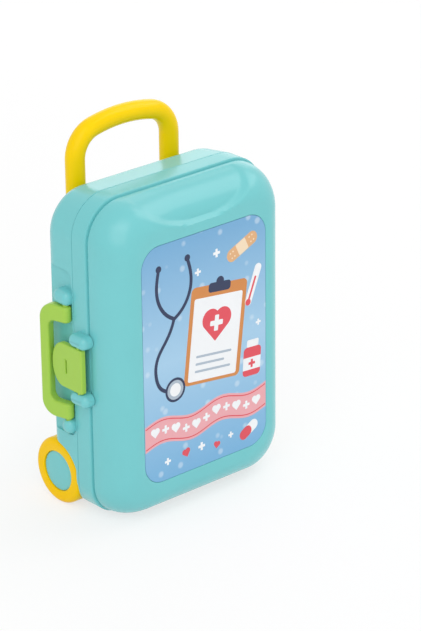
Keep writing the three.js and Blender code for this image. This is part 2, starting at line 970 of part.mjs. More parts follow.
function handleHousing() {
  let body = extrudeY(
    roundedRectangle(-housingHalfWidth, housingHalfWidth, housingBottom, housingTop, housingCorner),
    housingFront,
    housingFront + housingPlate,
    housingEdge,
  );
  for (const x of [-handleHalfSpan, handleHalfSpan]) {
    body = join(
      body,
      cylinderZ(x, handleY, housingBottom + housingCorner / 2, housingTop, sleeveOuter),
      box(
        x - sleeveOuter,
        x + sleeveOuter,
        housingFront,
        handleY,
        housingBottom + housingCorner / 2,
        housingTop,
      ),
    );
  }
  body = body.subtract(
    box(
      -housingHalfWidth,
      housingHalfWidth,
      housingFront - 2 * sleeveInner,
      housingFront,
      housingBottom - overrun,
      housingTop + overrun,
    ),
  );
  const bridgeHalf = handleHalfSpan - sleeveOuter - bridgeSideGap;
  body = body.add(
    extrudeY(
      roundedRectangle(
        -bridgeHalf,
        bridgeHalf,
        housingBottom + housingCorner,
        housingTop - housingCorner,
        housingCorner,
      ),
      housingFront + housingPlate / 2,
      housingFront + housingPlate + bridgeProud,
      housingEdge,
    ),
  );
  const channelTop = housingTop - guideLength;
  const channelBottom = handleBottom - stopFlange - 2 * seatGap;
  for (const x of [-handleHalfSpan, handleHalfSpan])
    body = cut(
      body,
      cylinderZ(x, handleY, channelBottom, channelTop, sleeveInner),
      box(
        x - sleeveInner,
        x + sleeveInner,
        housingFront - overrun,
        handleY,
        channelBottom,
        channelTop,
      ),
      cylinderZ(x, handleY, channelBottom, housingTop + overrun, handleRadius + sideGap),
    );
  const plateBack = housingFront + housingPlate;
  for (const [x, z] of screwPlaces)
    body = body.subtract(
      cylinderY(x, z, housingFront - overrun, plateBack + overrun, pilotRadius, tinySides),
    );
  return body;
}

function housingScrew(x, z) {
  const head = housingFront + housingPlate + seatGap;
  const slots = [
    [screwSlotLength, screwSlotWidth],
    [screwSlotWidth, screwSlotLength],
  ].map(([width, height]) =>
    box(
      x - width / 2,
      x + width / 2,
      head + screwHeadHeight - screwSlotDepth,
      head + screwHeadHeight + overrun,
      z - height / 2,
      z + height / 2,
    ),
  );
  const tip = head - screwLength;
  const shank = cylinderY(x, z, tip, head + screwHeadHeight / 2, screwRadius, tinySides);
  const cap = cylinderY(x, z, head, head + screwHeadHeight, screwHeadRadius, smallSides);
  return cut(join(shank, cap), ...slots);
}

addMesh("rear_shell", rearShell(), teal);
addMesh("front_lid", frontLid(), teal);
addMesh("front_label", frontLabel(), labelBlue, 0.4);
addMesh("handle_housing", handleHousing(), teal);
screwPlaces.forEach(([x, z], i) => {
  addMesh(`housing_screw_${i + 1}`, housingScrew(x, z), steel, 0.35, 1);
});

addMesh("pull_handle", pullHandle(), yellow);
addMesh("handle_stop_left", handleStop(-handleHalfSpan), darkGrey, 0.5);
addMesh("handle_stop_right", handleStop(handleHalfSpan), darkGrey, 0.5);

const carry = addMesh("carry_handle", carryHandle(), green);
carry.position.set(carryPivotX, carryPivotY, 0);
carry.rotation.z = THREE.MathUtils.degToRad(carryRestAngle);

addMesh("latch", latch(), green).position.set(-latchPinX, latchPinY, latchMiddle);

addMesh("hinge_pin_lower", hingePin(hingeHeights[0]), steel, 0.35, 1);
addMesh("hinge_pin_upper", hingePin(hingeHeights[1]), steel, 0.35, 1);

addMesh("axle", axle(), steel, 0.35, 1);
for (const [side, turn] of [["left", Math.PI], ["right", 0]]) {
  for (const [name, body, colour, roughness, metalness] of [
    ["wheel", wheel(), wheelYellow, 0.35, 0],
    ["hub_cap", hubCap(), teal, 0.3, 0],
    ["push_nut", pushNut(), steel, 0.35, 1],
  ]) {
    const mesh = addMesh(`${name}_${side}`, body, colour, roughness, metalness);
    mesh.rotation.z = turn;
    if (turn) mesh.position.y = 2 * wheelY;
  }
}

export default caseGroup;
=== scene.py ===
import json
import math
from contextlib import contextmanager

import bmesh
import bpy
from mathutils import Matrix, Vector


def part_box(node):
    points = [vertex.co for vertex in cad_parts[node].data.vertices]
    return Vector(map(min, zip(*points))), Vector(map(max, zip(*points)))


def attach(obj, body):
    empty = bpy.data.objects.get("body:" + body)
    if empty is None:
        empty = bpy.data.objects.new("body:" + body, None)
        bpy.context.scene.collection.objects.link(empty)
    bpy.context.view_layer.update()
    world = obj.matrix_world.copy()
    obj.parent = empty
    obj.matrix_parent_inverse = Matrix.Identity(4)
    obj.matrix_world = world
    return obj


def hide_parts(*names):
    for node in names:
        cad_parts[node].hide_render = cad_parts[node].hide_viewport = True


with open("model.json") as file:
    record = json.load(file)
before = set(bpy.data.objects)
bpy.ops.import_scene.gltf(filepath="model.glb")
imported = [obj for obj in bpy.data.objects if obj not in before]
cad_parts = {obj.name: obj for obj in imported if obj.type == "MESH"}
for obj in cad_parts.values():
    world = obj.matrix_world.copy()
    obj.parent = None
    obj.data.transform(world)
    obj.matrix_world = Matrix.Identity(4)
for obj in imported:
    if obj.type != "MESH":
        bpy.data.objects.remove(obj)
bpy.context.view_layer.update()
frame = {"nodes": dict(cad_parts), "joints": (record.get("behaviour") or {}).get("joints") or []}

# A toy doctor case on a pale floor: two glossy half shells, a pull handle, a carry handle, a latch,
# two wheels and a printed label. X is to the right, Y to the back and Z up.

mm = 0.001
joints = {joint["name"]: joint for joint in frame["joints"]}


def pivot(joint):
    return Vector(joints[joint]["pos_m"])


# Sizes read from the frame
lid_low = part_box("front_lid")[0]
rear_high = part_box("rear_shell")[1]
label_low, label_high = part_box("front_label")
housing_low, housing_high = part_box("handle_housing")
handle_low, handle_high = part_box("pull_handle")
stop_low, stop_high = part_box("handle_stop_right")
wheel_low, wheel_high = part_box("wheel_right")
cap_low, cap_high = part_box("hub_cap_right")

# Case
wall = 2.6 * mm
seat_gap = 0.3 * mm
side_gap = 0.4 * mm
running_gap = 0.25 * mm
overrun = 4 * mm
hinge_offset = 4.4 * mm
side_x = pivot("lid_hinge").x - hinge_offset
case_top = rear_high.z
case_bottom = 1.5 * mm
case_middle = (case_top + case_bottom) / 2
top_corner = 37 * mm
bottom_corner = 33.5 * mm
corner_shrink = 0.5
seam = 0.2 * mm

# Rear shell
rear_back = rear_high.y
rear_fillet = 18 * mm
rear_taper = 0.8 * mm
rear_top_drop = 2.4 * mm
lip_reach = 3 * mm
lip_inset = wall + 0.5 * mm
lip_thickness = 1.7 * mm
lip_root = 5 * mm
lip_edge = 0.4 * mm

# The rear shell's mouth, in millimetres: the place along Y and how far in it lies
rear_mouth_profile = [(0.2, 0.3), (0.42, 0.06), (0.8, 0.0)]

# Front lid
lid_front = lid_low.y
rim_depth = 17.4 * mm
groove_width = 2.7 * mm
crown_y = -(rim_depth + groove_width)
crown_step = 2 * mm
crown_inset = 26 * mm
crown_fill = 1.2 * mm
scoop_half_width = 68 * mm
scoop_half_height = 31 * mm
scoop_depth = 4.8 * mm
scoop_wall_share = 0.14
scoop_left_share = 0.3
scoop_left_start = -66 * mm
scoop_left_reach = 40 * mm
scoop_fade_start = 2 * mm
scoop_fade_reach = 9 * mm
label_recess = 1.3 * mm
label_radius = 20 * mm
label_edge = 0.15 * mm
recess_mouth = 0.5 * mm
recess_foot = 0.2 * mm

# The lid's side from its groove to the parting plane, in millimetres: the place along Y, how far
# in it lies, and the share of the crown's fill at the bottom
lid_side_profile = [
    (-19.95, 2.03, 1),
    (-19.6, 2.25, 1),
    (-19.35, 2.6, 1),
    (-19.2, 3.05, 1),
    (-18.95, 3.35, 0.8),
    (-18.6, 3.42, 0.5),
    (-18.25, 3.3, 0.2),
    (-18.0, 2.9, 0),
    (-17.9, 1.5, 0),
    (-17.72, 0.8, 0),
    (-17.3, 0.25, 0),
    (-16.6, 0.0, 0),
    (-9.0, 0.0, 0),
    (-0.8, 0.0, 0),
    (-0.42, 0.06, 0),
    (-0.2, 0.3, 0),
]

# Recess and lugs of the carry handle
carry_pivot = pivot("carry_handle_swing")
carry_arm_inner = 38.5 * mm
carry_arm_outer = 54 * mm
carry_thickness = 10 * mm
carry_reach = 26.5 * mm
carry_grip = 9.8 * mm
carry_outer_corner = 15 * mm
carry_inner_corner = 7 * mm
carry_edge = 2.5 * mm
carry_rest_angle = math.radians(13)
carry_stub = 2.6 * mm
carry_stub_length = 5.5 * mm
carry_stub_root = 5 * mm
recess_depth = 3 * mm
recess_corner = 8 * mm
recess_edge = 0.8 * mm
recess_edge_step = 0.25 * mm
recess_front = 2 * mm
recess_bottom = carry_pivot.z - carry_arm_outer - 18 * mm
recess_top = carry_pivot.z + carry_arm_outer + 32 * mm
lug_front = 0.76 * mm
lug_lengths = (13.5 * mm, 20.5 * mm)
lug_height = 14 * mm
lug_proud = side_x - recess_depth + 10.5 * mm
lug_corner = 6.4 * mm
lug_edge = 5.6 * mm

# Latch, with its pocket and lugs on the lid
latch_pivot = pivot("latch_turn")
latch_half = 21 * mm
latch_front = 6 * mm
latch_tail = 34.5 * mm
latch_stretch = 1.4
latch_inside = 2.5 * mm
latch_outside = 3 * mm
latch_tail_corner = 20 * mm
latch_front_corner = 2.2 * mm
latch_outer_edge = 1.4 * mm
latch_inner_edge = 0.9 * mm
hook_start = 22.5 * mm
hook_length = 2.4 * mm
hook_half = 13 * mm
rib_start = 15.3 * mm
rib_width = 1.6 * mm
rib_half = 7 * mm
rib_proud = 0.8 * mm
rib_edge = 0.5 * mm
slot_start = 13.7 * mm
slot_width = 1.55 * mm
slot_half = 6.5 * mm
slot_depth = 1.9 * mm
slot_corner = 0.6 * mm
latch_stub = 2.1 * mm
latch_stub_length = 4.5 * mm
latch_lug_half = 11.5 * mm
latch_lug_height = 12.5 * mm
latch_lug_proud = side_x + 10 * mm
latch_lug_corner = 6.1 * mm
latch_lug_edge = 5.4 * mm
pocket_depth = 2.5 * mm
pocket_front = 9 * mm
pocket_back = 6.5 * mm
pocket_ramp = 4 * mm
pocket_edge = 0.8 * mm
pocket_half = latch_half + side_gap
catch_back = latch_pivot.y + 20.9 * mm
catch_width = 2.4 * mm
catch_half = 14 * mm
catch_proud = 0.5 * mm
catch_edge = 0.45 * mm

# Hinges
hinge_x = pivot("lid_hinge").x
hinge_radius = 4 * mm
hinge_bore = 1.85 * mm
hinge_spread = 80 * mm
lid_knuckle = 12 * mm
rear_knuckle = 10 * mm

# Wheels
wheel_radius = (wheel_high.z - wheel_low.z) / 2
wheel_middle = pivot("wheel_right_spin")
wheel_face = wheel_high.x
wheel_edge = 5 * mm
hub_radius = 8 * mm
rim_thickness = 5 * mm
wheel_hollow = 8 * mm
axle_bore = 2.75 * mm
cap_radius = (cap_high.z - cap_low.z) / 2
cap_pocket = 4.2 * mm
cap_pocket_edge = 0.9 * mm
cap_dome = 0.5 * mm
cap_edge = 0.7 * mm
nut_room = 5.3 * mm
nut_depth = 4 * mm
arch_radius = wheel_radius + 0.9 * mm
arch_inner = wheel_low.x - 2 * mm
arch_flare = 0.8 * mm
tunnel_radius = 6 * mm

# The hub cap's dome, ring by ring from its rim: the inset in millimetres and the share of its rise
cap_rings = [(1.2, 0.0), (3, 0.4), (5, 0.36), (5, 0.2), (3, 0.04)]

# Pull handle and its housing
handle_radius = (handle_high.y - handle_low.y) / 2
handle_y = (handle_high.y + handle_low.y) / 2
handle_span = handle_high.x - handle_radius
handle_top = handle_high.z - handle_radius
handle_corner = 27 * mm
crown_angle = math.radians(13)
handle_bore = 6.4 * mm
handle_bore_depth = 182 * mm
sleeve_wall = 2.6 * mm
sleeve_inner = (stop_high.x - stop_low.x) / 2 + 1 * mm
sleeve_outer = sleeve_inner + sleeve_wall
guide_length = 30 * mm
housing_half = housing_high.x
housing_front = rear_back + seat_gap
housing_plate = 3 * mm
housing_corner = 12 * mm
bridge_half = 26 * mm
bridge_proud = 5 * mm
plate_edge = 1 * mm
bridge_edge = 1.5 * mm
screw_x = 73 * mm
screw_edge = 14 * mm
screw_hole = 1.8 * mm
screw_shank = 1.7 * mm
screw_tip = 0.6 * mm
screw_crown_share = 0.7
cross_long_share = 0.55
cross_short_share = 0.14
cross_depth_share = 0.75
boss_radius = 4 * mm
boss_depth = 13 * mm

# The card's printed design, in millimetres on the card
ink_step = 0.02 * mm
clipboard_x = 12
clipboard_z = 163
clipboard_turn = -7
ribbon_z = 84
ribbon_half = 12.5
ribbon_wave = 3.5
ribbon_wave_length = 69.1
ribbon_stitch_inset = 2.6

# Ribs that the case stands on
stand_half = 20 * mm
stand_front = 6 * mm
stand_back = 14 * mm
skid_x = 62 * mm
skid_half = 6 * mm
skid_near = 4 * mm
skid_far = 14 * mm

# Camera and light
camera_azimuth = math.radians(-41.37)
camera_elevation = math.radians(23.43)
camera_roll = math.radians(-0.62)
camera_target = Vector((55.73 * mm, 0, 148.28 * mm))
camera_distance = 2644.65 * mm
camera_lens = 166.05
world_level = 0.68
floor_glow_share = 0.7
sun_level = 0.25


# Modelling helpers


def deselect():
    bpy.ops.object.select_all(action="DESELECT")


def make_active(piece):
    deselect()
    piece.select_set(True)
    bpy.context.view_layer.objects.active = piece


@contextmanager
def editing(piece, mode="EDGE"):
    """Edit mode on one piece, with nothing selected."""
    make_active(piece)
    bpy.ops.object.mode_set(mode="EDIT")
    bpy.ops.mesh.select_mode(type=mode)
    bpy.ops.mesh.select_all(action="DESELECT")
    yield
    bpy.ops.object.mode_set(mode="OBJECT")


def select(kind, test):
    """Selects the vertices, edges or faces of the piece in edit mode that pass a test."""
    mesh = bmesh.from_edit_mesh(bpy.context.object.data)
    for item in getattr(mesh, kind):
        if test(item):
            item.select_set(True)
    bmesh.update_edit_mesh(bpy.context.object.data)


def middle(edge):
    return (edge.verts[0].co + edge.verts[1].co) / 2


def along(edge):
    return (edge.verts[1].co - edge.verts[0].co).normalized()


def apply_place(piece):
    make_active(piece)
    bpy.ops.object.transform_apply(location=True, rotation=True, scale=True)
    return piece


def named(piece, name):
    piece.name = name
    piece.data.name = name
    return piece


def outward(piece):
    """Merges doubles and turns every face outwards."""
    with editing(piece, "FACE"):
        bpy.ops.mesh.select_all(action="SELECT")
        bpy.ops.mesh.remove_doubles(threshold=0.002 * mm)
        bpy.ops.mesh.normals_make_consistent(inside=False)
    return piece


def finish_modifier(piece, kind, **settings):
    make_active(piece)
    modifier = piece.modifiers.new(kind.lower(), kind)
    for key, value in settings.items():
        setattr(modifier, key, value)
    bpy.ops.object.modifier_apply(modifier=modifier.name)
    return piece


def boolean(body, tool, operation):
    """Joins, cuts or trims a body with a tool, which is used up."""
    finish_modifier(body, "BOOLEAN", operation=operation, object=tool, solver="EXACT")
    bpy.data.objects.remove(tool)


def join(pieces):
    """One object out of pieces that don't touch."""
    make_active(pieces[0])
    for piece in pieces[1:]:
        piece.select_set(True)
    bpy.ops.object.join()
    return pieces[0]


def add_all(body, tools):
    for tool in tools:
        boolean(body, tool, "UNION")
    return body


def cut_all(body, tools):
    for tool in tools:
        boolean(body, tool, "DIFFERENCE")
    return body


def block(low, high, edges=()):
    """A box between two corners, its edges rounded by (test, radius, segments) in turn."""
    low = Vector(low)
    high = Vector(high)
    bpy.ops.mesh.primitive_cube_add(size=1, location=(low + high) / 2)
    piece = bpy.context.object
    piece.scale = high - low
    apply_place(piece)
    return rounded(piece, edges)


def rounded(piece, edges):
    """Rounds the edges that pass each test, by (test, radius, segments) in turn."""
    for test, radius, segments in edges:
        with editing(piece, "EDGE"):
            select("edges", test)
            bpy.ops.mesh.bevel(offset=radius, segments=segments, affect="EDGES")
    return piece


def parallel_to(axis):
    return lambda edge: abs(along(edge)[axis]) > 0.99


def rod(axis, centre, start, end, radius, sides=64):
    """A cylinder along an axis (0, 1 or 2), between two places on it."""
    place = Vector(centre)
    place[axis] = (start + end) / 2
    turn = [(0, math.pi / 2, 0), (math.pi / 2, 0, 0), (0, 0, 0)][axis]
    bpy.ops.mesh.primitive_cylinder_add(
        vertices=sides, radius=radius, depth=abs(end - start), location=place, rotation=turn
    )
    return apply_place(bpy.context.object)


def rounded_loop(depth, outline, arc_cuts, u_cuts, v_cuts):
    """A loop of edges in the XY plane at a depth: (left, low, right, high, low radius, high radius)."""
    left, low, right, high, low_radius, high_radius = outline
    bpy.ops.mesh.primitive_plane_add(size=1, location=((left + right) / 2, (low + high) / 2, depth))
    loop = bpy.context.object
    loop.scale = (right - left, high - low, 1)
    apply_place(loop)
    half = (low + high) / 2
    near = (high - low) / 1000
    for radius, test in (
        (high_radius, lambda v: v.co.y > half),
        (low_radius, lambda v: v.co.y < low + near),
    ):
        with editing(loop, "VERT"):
            select("verts", test)
            bpy.ops.mesh.bevel(offset=radius, segments=arc_cuts, affect="VERTICES")
    with editing(loop, "EDGE"):
        bpy.ops.mesh.select_all(action="SELECT")
        bpy.ops.mesh.delete(type="ONLY_FACE")
    for axis, cuts, reach in ((0, u_cuts, right - left), (1, v_cuts, high - low)):
        if cuts:
            straight = reach - 2 * max(low_radius, high_radius)
            with editing(loop, "EDGE"):
                long = straight * 0.98
                select("edges", lambda e: abs(along(e)[axis]) > 0.999 and e.calc_length() > long)
                bpy.ops.mesh.subdivide(number_cuts=cuts)
    return loop


def loft(rings, arc_cuts=10, u_cuts=0, v_cuts=0):
    """A closed skin through rounded rectangles at (depth, outline), with flat ends.

    It is drawn a thousand times too large, because bridging loses its way between small loops,
    and no two rings that follow each other may lie in one plane.
    """
    rings = [(ring[0] / mm, tuple(size / mm for size in ring[1])) for ring in rings]
    body = rounded_loop(*rings[0], arc_cuts, u_cuts, v_cuts)
    with editing(body, "EDGE"):
        bpy.ops.mesh.select_all(action="SELECT")
        bpy.ops.mesh.edge_face_add()
    for ring in rings[1:]:
        loop = rounded_loop(*ring, arc_cuts, u_cuts, v_cuts)
        join([body, loop])
        with editing(body, "EDGE"):
            select("edges", lambda edge: not edge.is_manifold)
            bpy.ops.mesh.bridge_edge_loops()
    with editing(body, "EDGE"):
        select("edges", lambda edge: not edge.is_manifold)
        bpy.ops.mesh.edge_face_add()
    body.scale = (mm, mm, mm)
    return outward(apply_place(body))


def facing(piece, axis):
    """Turns a loft drawn in (u, v, depth): its depth then runs along -Y or +X."""
    turns = {
        "-y": Matrix(((1, 0, 0), (0, 0, -1), (0, 1, 0))),
        "+x": Matrix(((0, 0, 1), (1, 0, 0), (0, 1, 0))),
    }
    piece.matrix_world = turns[axis].to_4x4()
    return apply_place(piece)


def smooth(piece, name, angle=32):
    """Names a finished piece and gives it smooth faces that keep their sharp edges."""
    outward(piece)
    make_active(piece)
    bpy.ops.object.shade_smooth_by_angle(angle=math.radians(angle))
    finish_modifier(piece, "WEIGHTED_NORMAL", keep_sharp=True)
    return named(piece, name)


def copied(piece):
    make_active(piece)
    bpy.ops.object.duplicate()
    return bpy.context.object


def mirrored(piece):
    """A copy of a piece on the other side of the plane x = 0."""
    twin = copied(piece)
    twin.scale.x = -1
    return outward(apply_place(twin))


# Case shells


def case_outline(inset, top_drop=0.0, bottom_rise=0.0):
    half = side_x - inset
    return (
        -half,
        case_bottom + inset + bottom_rise,
        half,
        case_top - inset - top_drop,
        bottom_corner,
        top_corner - inset * corner_shrink,
    )


def quarter(start_y, end_y, start_inset, depth, steps, drop=0.0, rise=0.0):
    """Rings along a quarter of an ellipse, from the end of a side to the flat of a face."""
    rings = []
    for k in range(1, steps + 1):
        angle = k / steps * math.pi / 2
        y = start_y + (end_y - start_y) * math.sin(angle)
        inset = start_inset + depth * (1 - math.cos(angle))
        rings.append((-y, case_outline(inset, drop, rise)))
    return rings


def between(first, last, steps):
    """Rings that lead evenly from one ring to another, without the two ends."""
    rings = []
    for k in range(1, steps):
        share = k / steps
        depth = first[0] + (last[0] - first[0]) * share
        rings.append((depth, tuple(a + (b - a) * share for a, b in zip(first[1], last[1]))))
    return rings


def label_outline(grow):
    return (
        label_low.x - grow,
        label_low.z - grow,
        label_high.x + grow,
        label_high.z + grow,
        label_radius + grow,
        label_radius + grow,
    )


def scoop_share(point):
    """How far into the oval scoop a point of the lid lies, from 0 outside to 1 on its floor."""
    reach = math.hypot(point.x / scoop_half_width, (point.z - case_top) / scoop_half_height)
    rise = min(max((1 - reach) / scoop_wall_share, 0), 1)
    behind = min(max((crown_y - scoop_fade_start - point.y) / scoop_fade_reach, 0), 1)
    from_left = smooth_step(min(max((point.x - scoop_left_start) / scoop_left_reach, 0), 1))
    depth_share = scoop_left_share + (1 - scoop_left_share) * from_left
    return smooth_step(rise) * smooth_step(behind) * depth_share


def smooth_step(share):
    return share * share * (3 - 2 * share)


def press_scoop(piece):
    """Presses the oval scoop into a shell's crown."""
    group = piece.vertex_groups.new(name="scoop")
    for vertex in piece.data.vertices:
        group.add([vertex.index], scoop_share(vertex.co), "REPLACE")
    finish_modifier(
        piece,
        "DISPLACE",
        direction="Y",
        strength=scoop_depth,
        mid_level=0.0,
        vertex_group="scoop",
    )
    piece.vertex_groups.clear()
    return piece


def lid_outer():
    recess_floor = -(lid_front + label_recess)
    front = -lid_front
    mouth = recess_mouth
    hole = (front - 0.2 * mouth, label_outline(seat_gap + mouth))
    crown = [(-crown_y, case_outline(crown_step, 0, -crown_fill))]
    crown += quarter(crown_y, lid_front, crown_step, crown_inset, 30, 0, -crown_fill)
    crown.reverse()
    rings = [
        (recess_floor, label_outline(seat_gap - recess_foot)),
        (recess_floor + recess_foot, label_outline(seat_gap)),
        (front - 1.2 * mouth, label_outline(seat_gap)),
        (front - 0.5 * mouth, label_outline(seat_gap + 0.3 * mouth)),
        hole,
        *between(hole, crown[0], 5),
        *crown,
    ]
    for y, inset, fill in lid_side_profile:
        rings.append((-y * mm, case_outline(inset * mm, 0, -crown_fill * fill)))
    return press_scoop(facing(loft(rings, arc_cuts=14, u_cuts=72, v_cuts=24), "-y"))


def lid_hollow():
    deep = lid_front + wall
    rings = [(-overrun, case_outline(wall)), (0, case_outline(wall))]
    step = crown_step + wall
    rings.append((-crown_y, case_outline(step, 0, -crown_fill)))
    rings += quarter(crown_y, deep, step, crown_inset - wall, 18, 0, -crown_fill)
    floor = rings[-1]
    centre = (floor[0] - 0.2 * mm, label_outline(0))
    rings += between(floor, centre, 4)
    rings.append(centre)
    return press_scoop(facing(loft(rings, arc_cuts=10, u_cuts=48, v_cuts=12), "-y"))


def knuckles(heights, web_start, web_end):
    tools = []
    for low, high in heights:
        barrel = rod(2, (hinge_x, 0, 0), low, high, hinge_radius, 32)
        inside = 0.04 * mm
        web = block((side_x - wall / 2, web_start, low + inside), (hinge_x, web_end, high - inside))
        tools += [barrel, web]
    return tools


def hinge_heights():
    return [case_middle - hinge_spread, case_middle + hinge_spread]


def hinge_bores():
    reach = lid_knuckle / 2 + side_gap + rear_knuckle + overrun
    return [rod(2, (hinge_x, 0, 0), z - reach, z + reach, hinge_bore, 32) for z in hinge_heights()]


def pill_lugs(pin, half, height, front_y, lengths, root, proud, corner, edge):
    """The two lugs that hold a handle's or a latch's stubs, with their outer edges well rounded."""
    pieces = []
    for side, length in ((-1, lengths[0]), (1, lengths[1])):
        near = pin.z + side * half
        far = near + side * height
        low = (-proud, front_y, min(near, far))
        high = (-root, front_y + length, max(near, far))
        outer = lambda edge: all(v.co.x < -proud + 0.01 * mm for v in edge.verts)
        pieces.append(block(low, high, [(parallel_to(0), corner, 8), (outer, edge, 6)]))
    return pieces


def stub_sockets(pin, half, radius, length):
    return [
        rod(2, pin, pin.z + side * (half - overrun), pin.z + side * (half + length), radius, 32)
        for side in (-1, 1)
    ]


def skids(start, end):
    return [
        block((x - skid_half, start, 0), (x + skid_half, end, case_bottom + wall / 2))
        for x in (-skid_x, skid_x)
    ]


def latch_pocket(grow):
    """The latch's pocket in the lid's side, with a ramp at its front. Grown, it is a plain block."""
    pocket_y = latch_pivot.y - pocket_front
    pocket = block(
        (-side_x - overrun, pocket_y - pocket_ramp - grow, latch_pivot.z - pocket_half - grow),
        (
            -(side_x - pocket_depth - grow),
            latch_pivot.y + pocket_back + grow,
            latch_pivot.z + pocket_half + grow,
        ),
    )
    if grow:
        return pocket
    with editing(pocket, "VERT"):
        select("verts", lambda v: v.co.x > -side_x and v.co.y < pocket_y)
        bpy.ops.transform.translate(value=(0, pocket_ramp, 0))
    with editing(pocket, "EDGE"):
        select("edges", lambda e: middle(e).x > -side_x and abs(along(e).z) > 0.9)
        bpy.ops.mesh.bevel(offset=pocket_edge, segments=4, affect="EDGES")
    return pocket


def make_lid():
    hollow = cut_all(lid_hollow(), [latch_pocket(wall)])
    body = cut_all(lid_outer(), [hollow, latch_pocket(0)])
    lugs = pill_lugs(
        latch_pivot,
        pocket_half,
        latch_lug_height,
        latch_pivot.y - latch_lug_half,
        (2 * latch_lug_half, 2 * latch_lug_half),
        side_x - wall / 2,
        latch_lug_proud,
        latch_lug_corner,
        latch_lug_edge,
    )
    heights = [(z - lid_knuckle / 2, z + lid_knuckle / 2) for z in hinge_heights()]
    add_all(body, lugs + knuckles(heights, -hinge_radius + seam, -seam) + skids(-skid_far, -skid_near))
    sockets = stub_sockets(
        latch_pivot, pocket_half, latch_stub + running_gap, latch_stub_length + running_gap
    )
    cut_all(body, sockets + hinge_bores())
    return smooth(body, "lid_shell")


def rear_outer():
    start = rear_back - rear_fillet
    rings = [(-y * mm, case_outline(inset * mm)) for y, inset in rear_mouth_profile]
    side = (-start, case_outline(rear_taper, rear_top_drop, -rear_taper))
    rings += [*between(rings[-1], side, 3), side]
    rings += quarter(start, rear_back, rear_taper, rear_fillet, 16, rear_top_drop, -rear_taper)
    return facing(loft(rings, arc_cuts=14, u_cuts=4, v_cuts=8), "-y")


def rear_hollow():
    start = rear_back - rear_fillet
    back = rear_back - wall
    inset = rear_taper + wall
    rings = [(overrun, case_outline(wall)), (0, case_outline(wall))]
    rings.append((-start, case_outline(inset, rear_top_drop, -rear_taper)))
    rings += quarter(start, back, inset, rear_fillet - wall, 12, rear_top_drop, -rear_taper)
    return facing(loft(rings, arc_cuts=12), "-y")


def lip_ring():
    outer = loft(
        [
            (lip_reach, case_outline(lip_inset + lip_edge)),
            (lip_reach - lip_edge, case_outline(lip_inset)),
            (-2 * seam, case_outline(lip_inset)),
            (-2 * seam - seat_gap, case_outline(wall / 2)),
            (-lip_root, case_outline(wall / 2 + rear_taper / 2)),
        ],
        arc_cuts=14,
    )
    inset = lip_inset + lip_thickness
    bore = loft(
        [(lip_reach + overrun, case_outline(inset)), (-lip_root - overrun, case_outline(inset))],
        arc_cuts=14,
    )
    return facing(cut_all(outer, [bore]), "-y")


def side_recess():
    """The cutter of the recess that the carry handle folds into, with a soft edge at its mouth."""
    def outline(grow):
        far = rear_back + 3 * overrun
        low, high = recess_bottom - grow, recess_top + grow
        return (recess_front - grow, low, far, high, recess_corner, recess_corner)

    floor = side_x - recess_depth
    step = recess_edge_step
    mouth = 0.1 * mm
    rings = [
        (-floor, outline(-recess_edge)),
        (-floor - step, outline(-step)),
        (-floor - recess_edge, outline(0)),
        (-side_x + 2 * step, outline(0)),
        (-side_x + mouth, outline(step)),
        (-side_x - mouth, outline(recess_edge)),
        (-side_x - overrun, outline(recess_edge)),
    ]
    return facing(loft(rings, arc_cuts=8), "+x")


def wheel_arches():
    """The cutters of both wheel arches, flared a little where they leave the sides."""
    mouth = side_x - arch_flare
    arch = rod(0, wheel_middle, arch_inner, mouth, arch_radius, 96)
    with editing(arch, "FACE"):
        select("faces", lambda f: f.normal.x > 0.9)
        for reach, grow in ((arch_flare, arch_flare * 0.6), (arch_flare, arch_flare), (overrun, 0)):
            bpy.ops.mesh.extrude_region_move(TRANSFORM_OT_translate={"value": (reach / 2, 0, 0)})
            scale = (arch_radius + grow) / arch_radius
            bpy.ops.transform.resize(value=(1, scale, scale), center_override=wheel_middle)
    return [arch, mirrored(arch)]


def screw_places():
    return [(x, z) for x in (-screw_x, screw_x) for z in screw_heights()]


def rear_cuts():
    """The cutters of the rear shell's outside: recess, arches, and the axle's and screws' holes."""
    cuts = [side_recess(), *wheel_arches()]
    cuts.append(rod(0, wheel_middle, -arch_inner - overrun, arch_inner + overrun, axle_bore, 32))
    start = rear_back - boss_depth + wall
    for x, z in screw_places():
        cuts.append(rod(1, (x, 0, z), start, rear_back + overrun, screw_hole, 24))
    return cuts


def hollow_fills():
    """What stays solid inside the rear shell: the walls round those cuts, and the screws' bosses."""
    fills = []
    for side in (-1, 1):
        well = (side * (arch_inner - wall), side * (side_x + overrun))
        fills.append(rod(0, wheel_middle, min(well), max(well), arch_radius + wall, 96))
    fills.append(rod(0, wheel_middle, -arch_inner, arch_inner, tunnel_radius, 48))
    fills.append(
        block(
            (-side_x - overrun, -overrun, recess_bottom - wall),
            (-(side_x - recess_depth - wall), rear_back + overrun, recess_top + wall),
        )
    )
    for x, z in screw_places():
        fills.append(rod(1, (x, 0, z), rear_back - boss_depth, rear_back + overrun, boss_radius, 32))
    return fills


def rear_lugs():
    return pill_lugs(
        carry_pivot,
        carry_arm_outer + side_gap,
        lug_height,
        lug_front,
        lug_lengths,
        side_x - recess_depth - wall * 0.4,
        lug_proud,
        lug_corner,
        lug_edge,
    )


def catch_rib():
    return block(
        (-(side_x + catch_proud), catch_back - catch_width, latch_pivot.z - catch_half),
        (-(side_x - recess_depth - wall / 2), catch_back, latch_pivot.z + catch_half),
        [(lambda e: middle(e).x < -side_x and abs(along(e).z) > 0.9, catch_edge, 3)],
    )


def rear_knuckles():
    inner = lid_knuckle / 2 + side_gap
    heights = []
    for z in hinge_heights():
        heights += [(z - inner - rear_knuckle, z - inner), (z + inner, z + inner + rear_knuckle)]
    return knuckles(heights, seam, hinge_radius - seam)


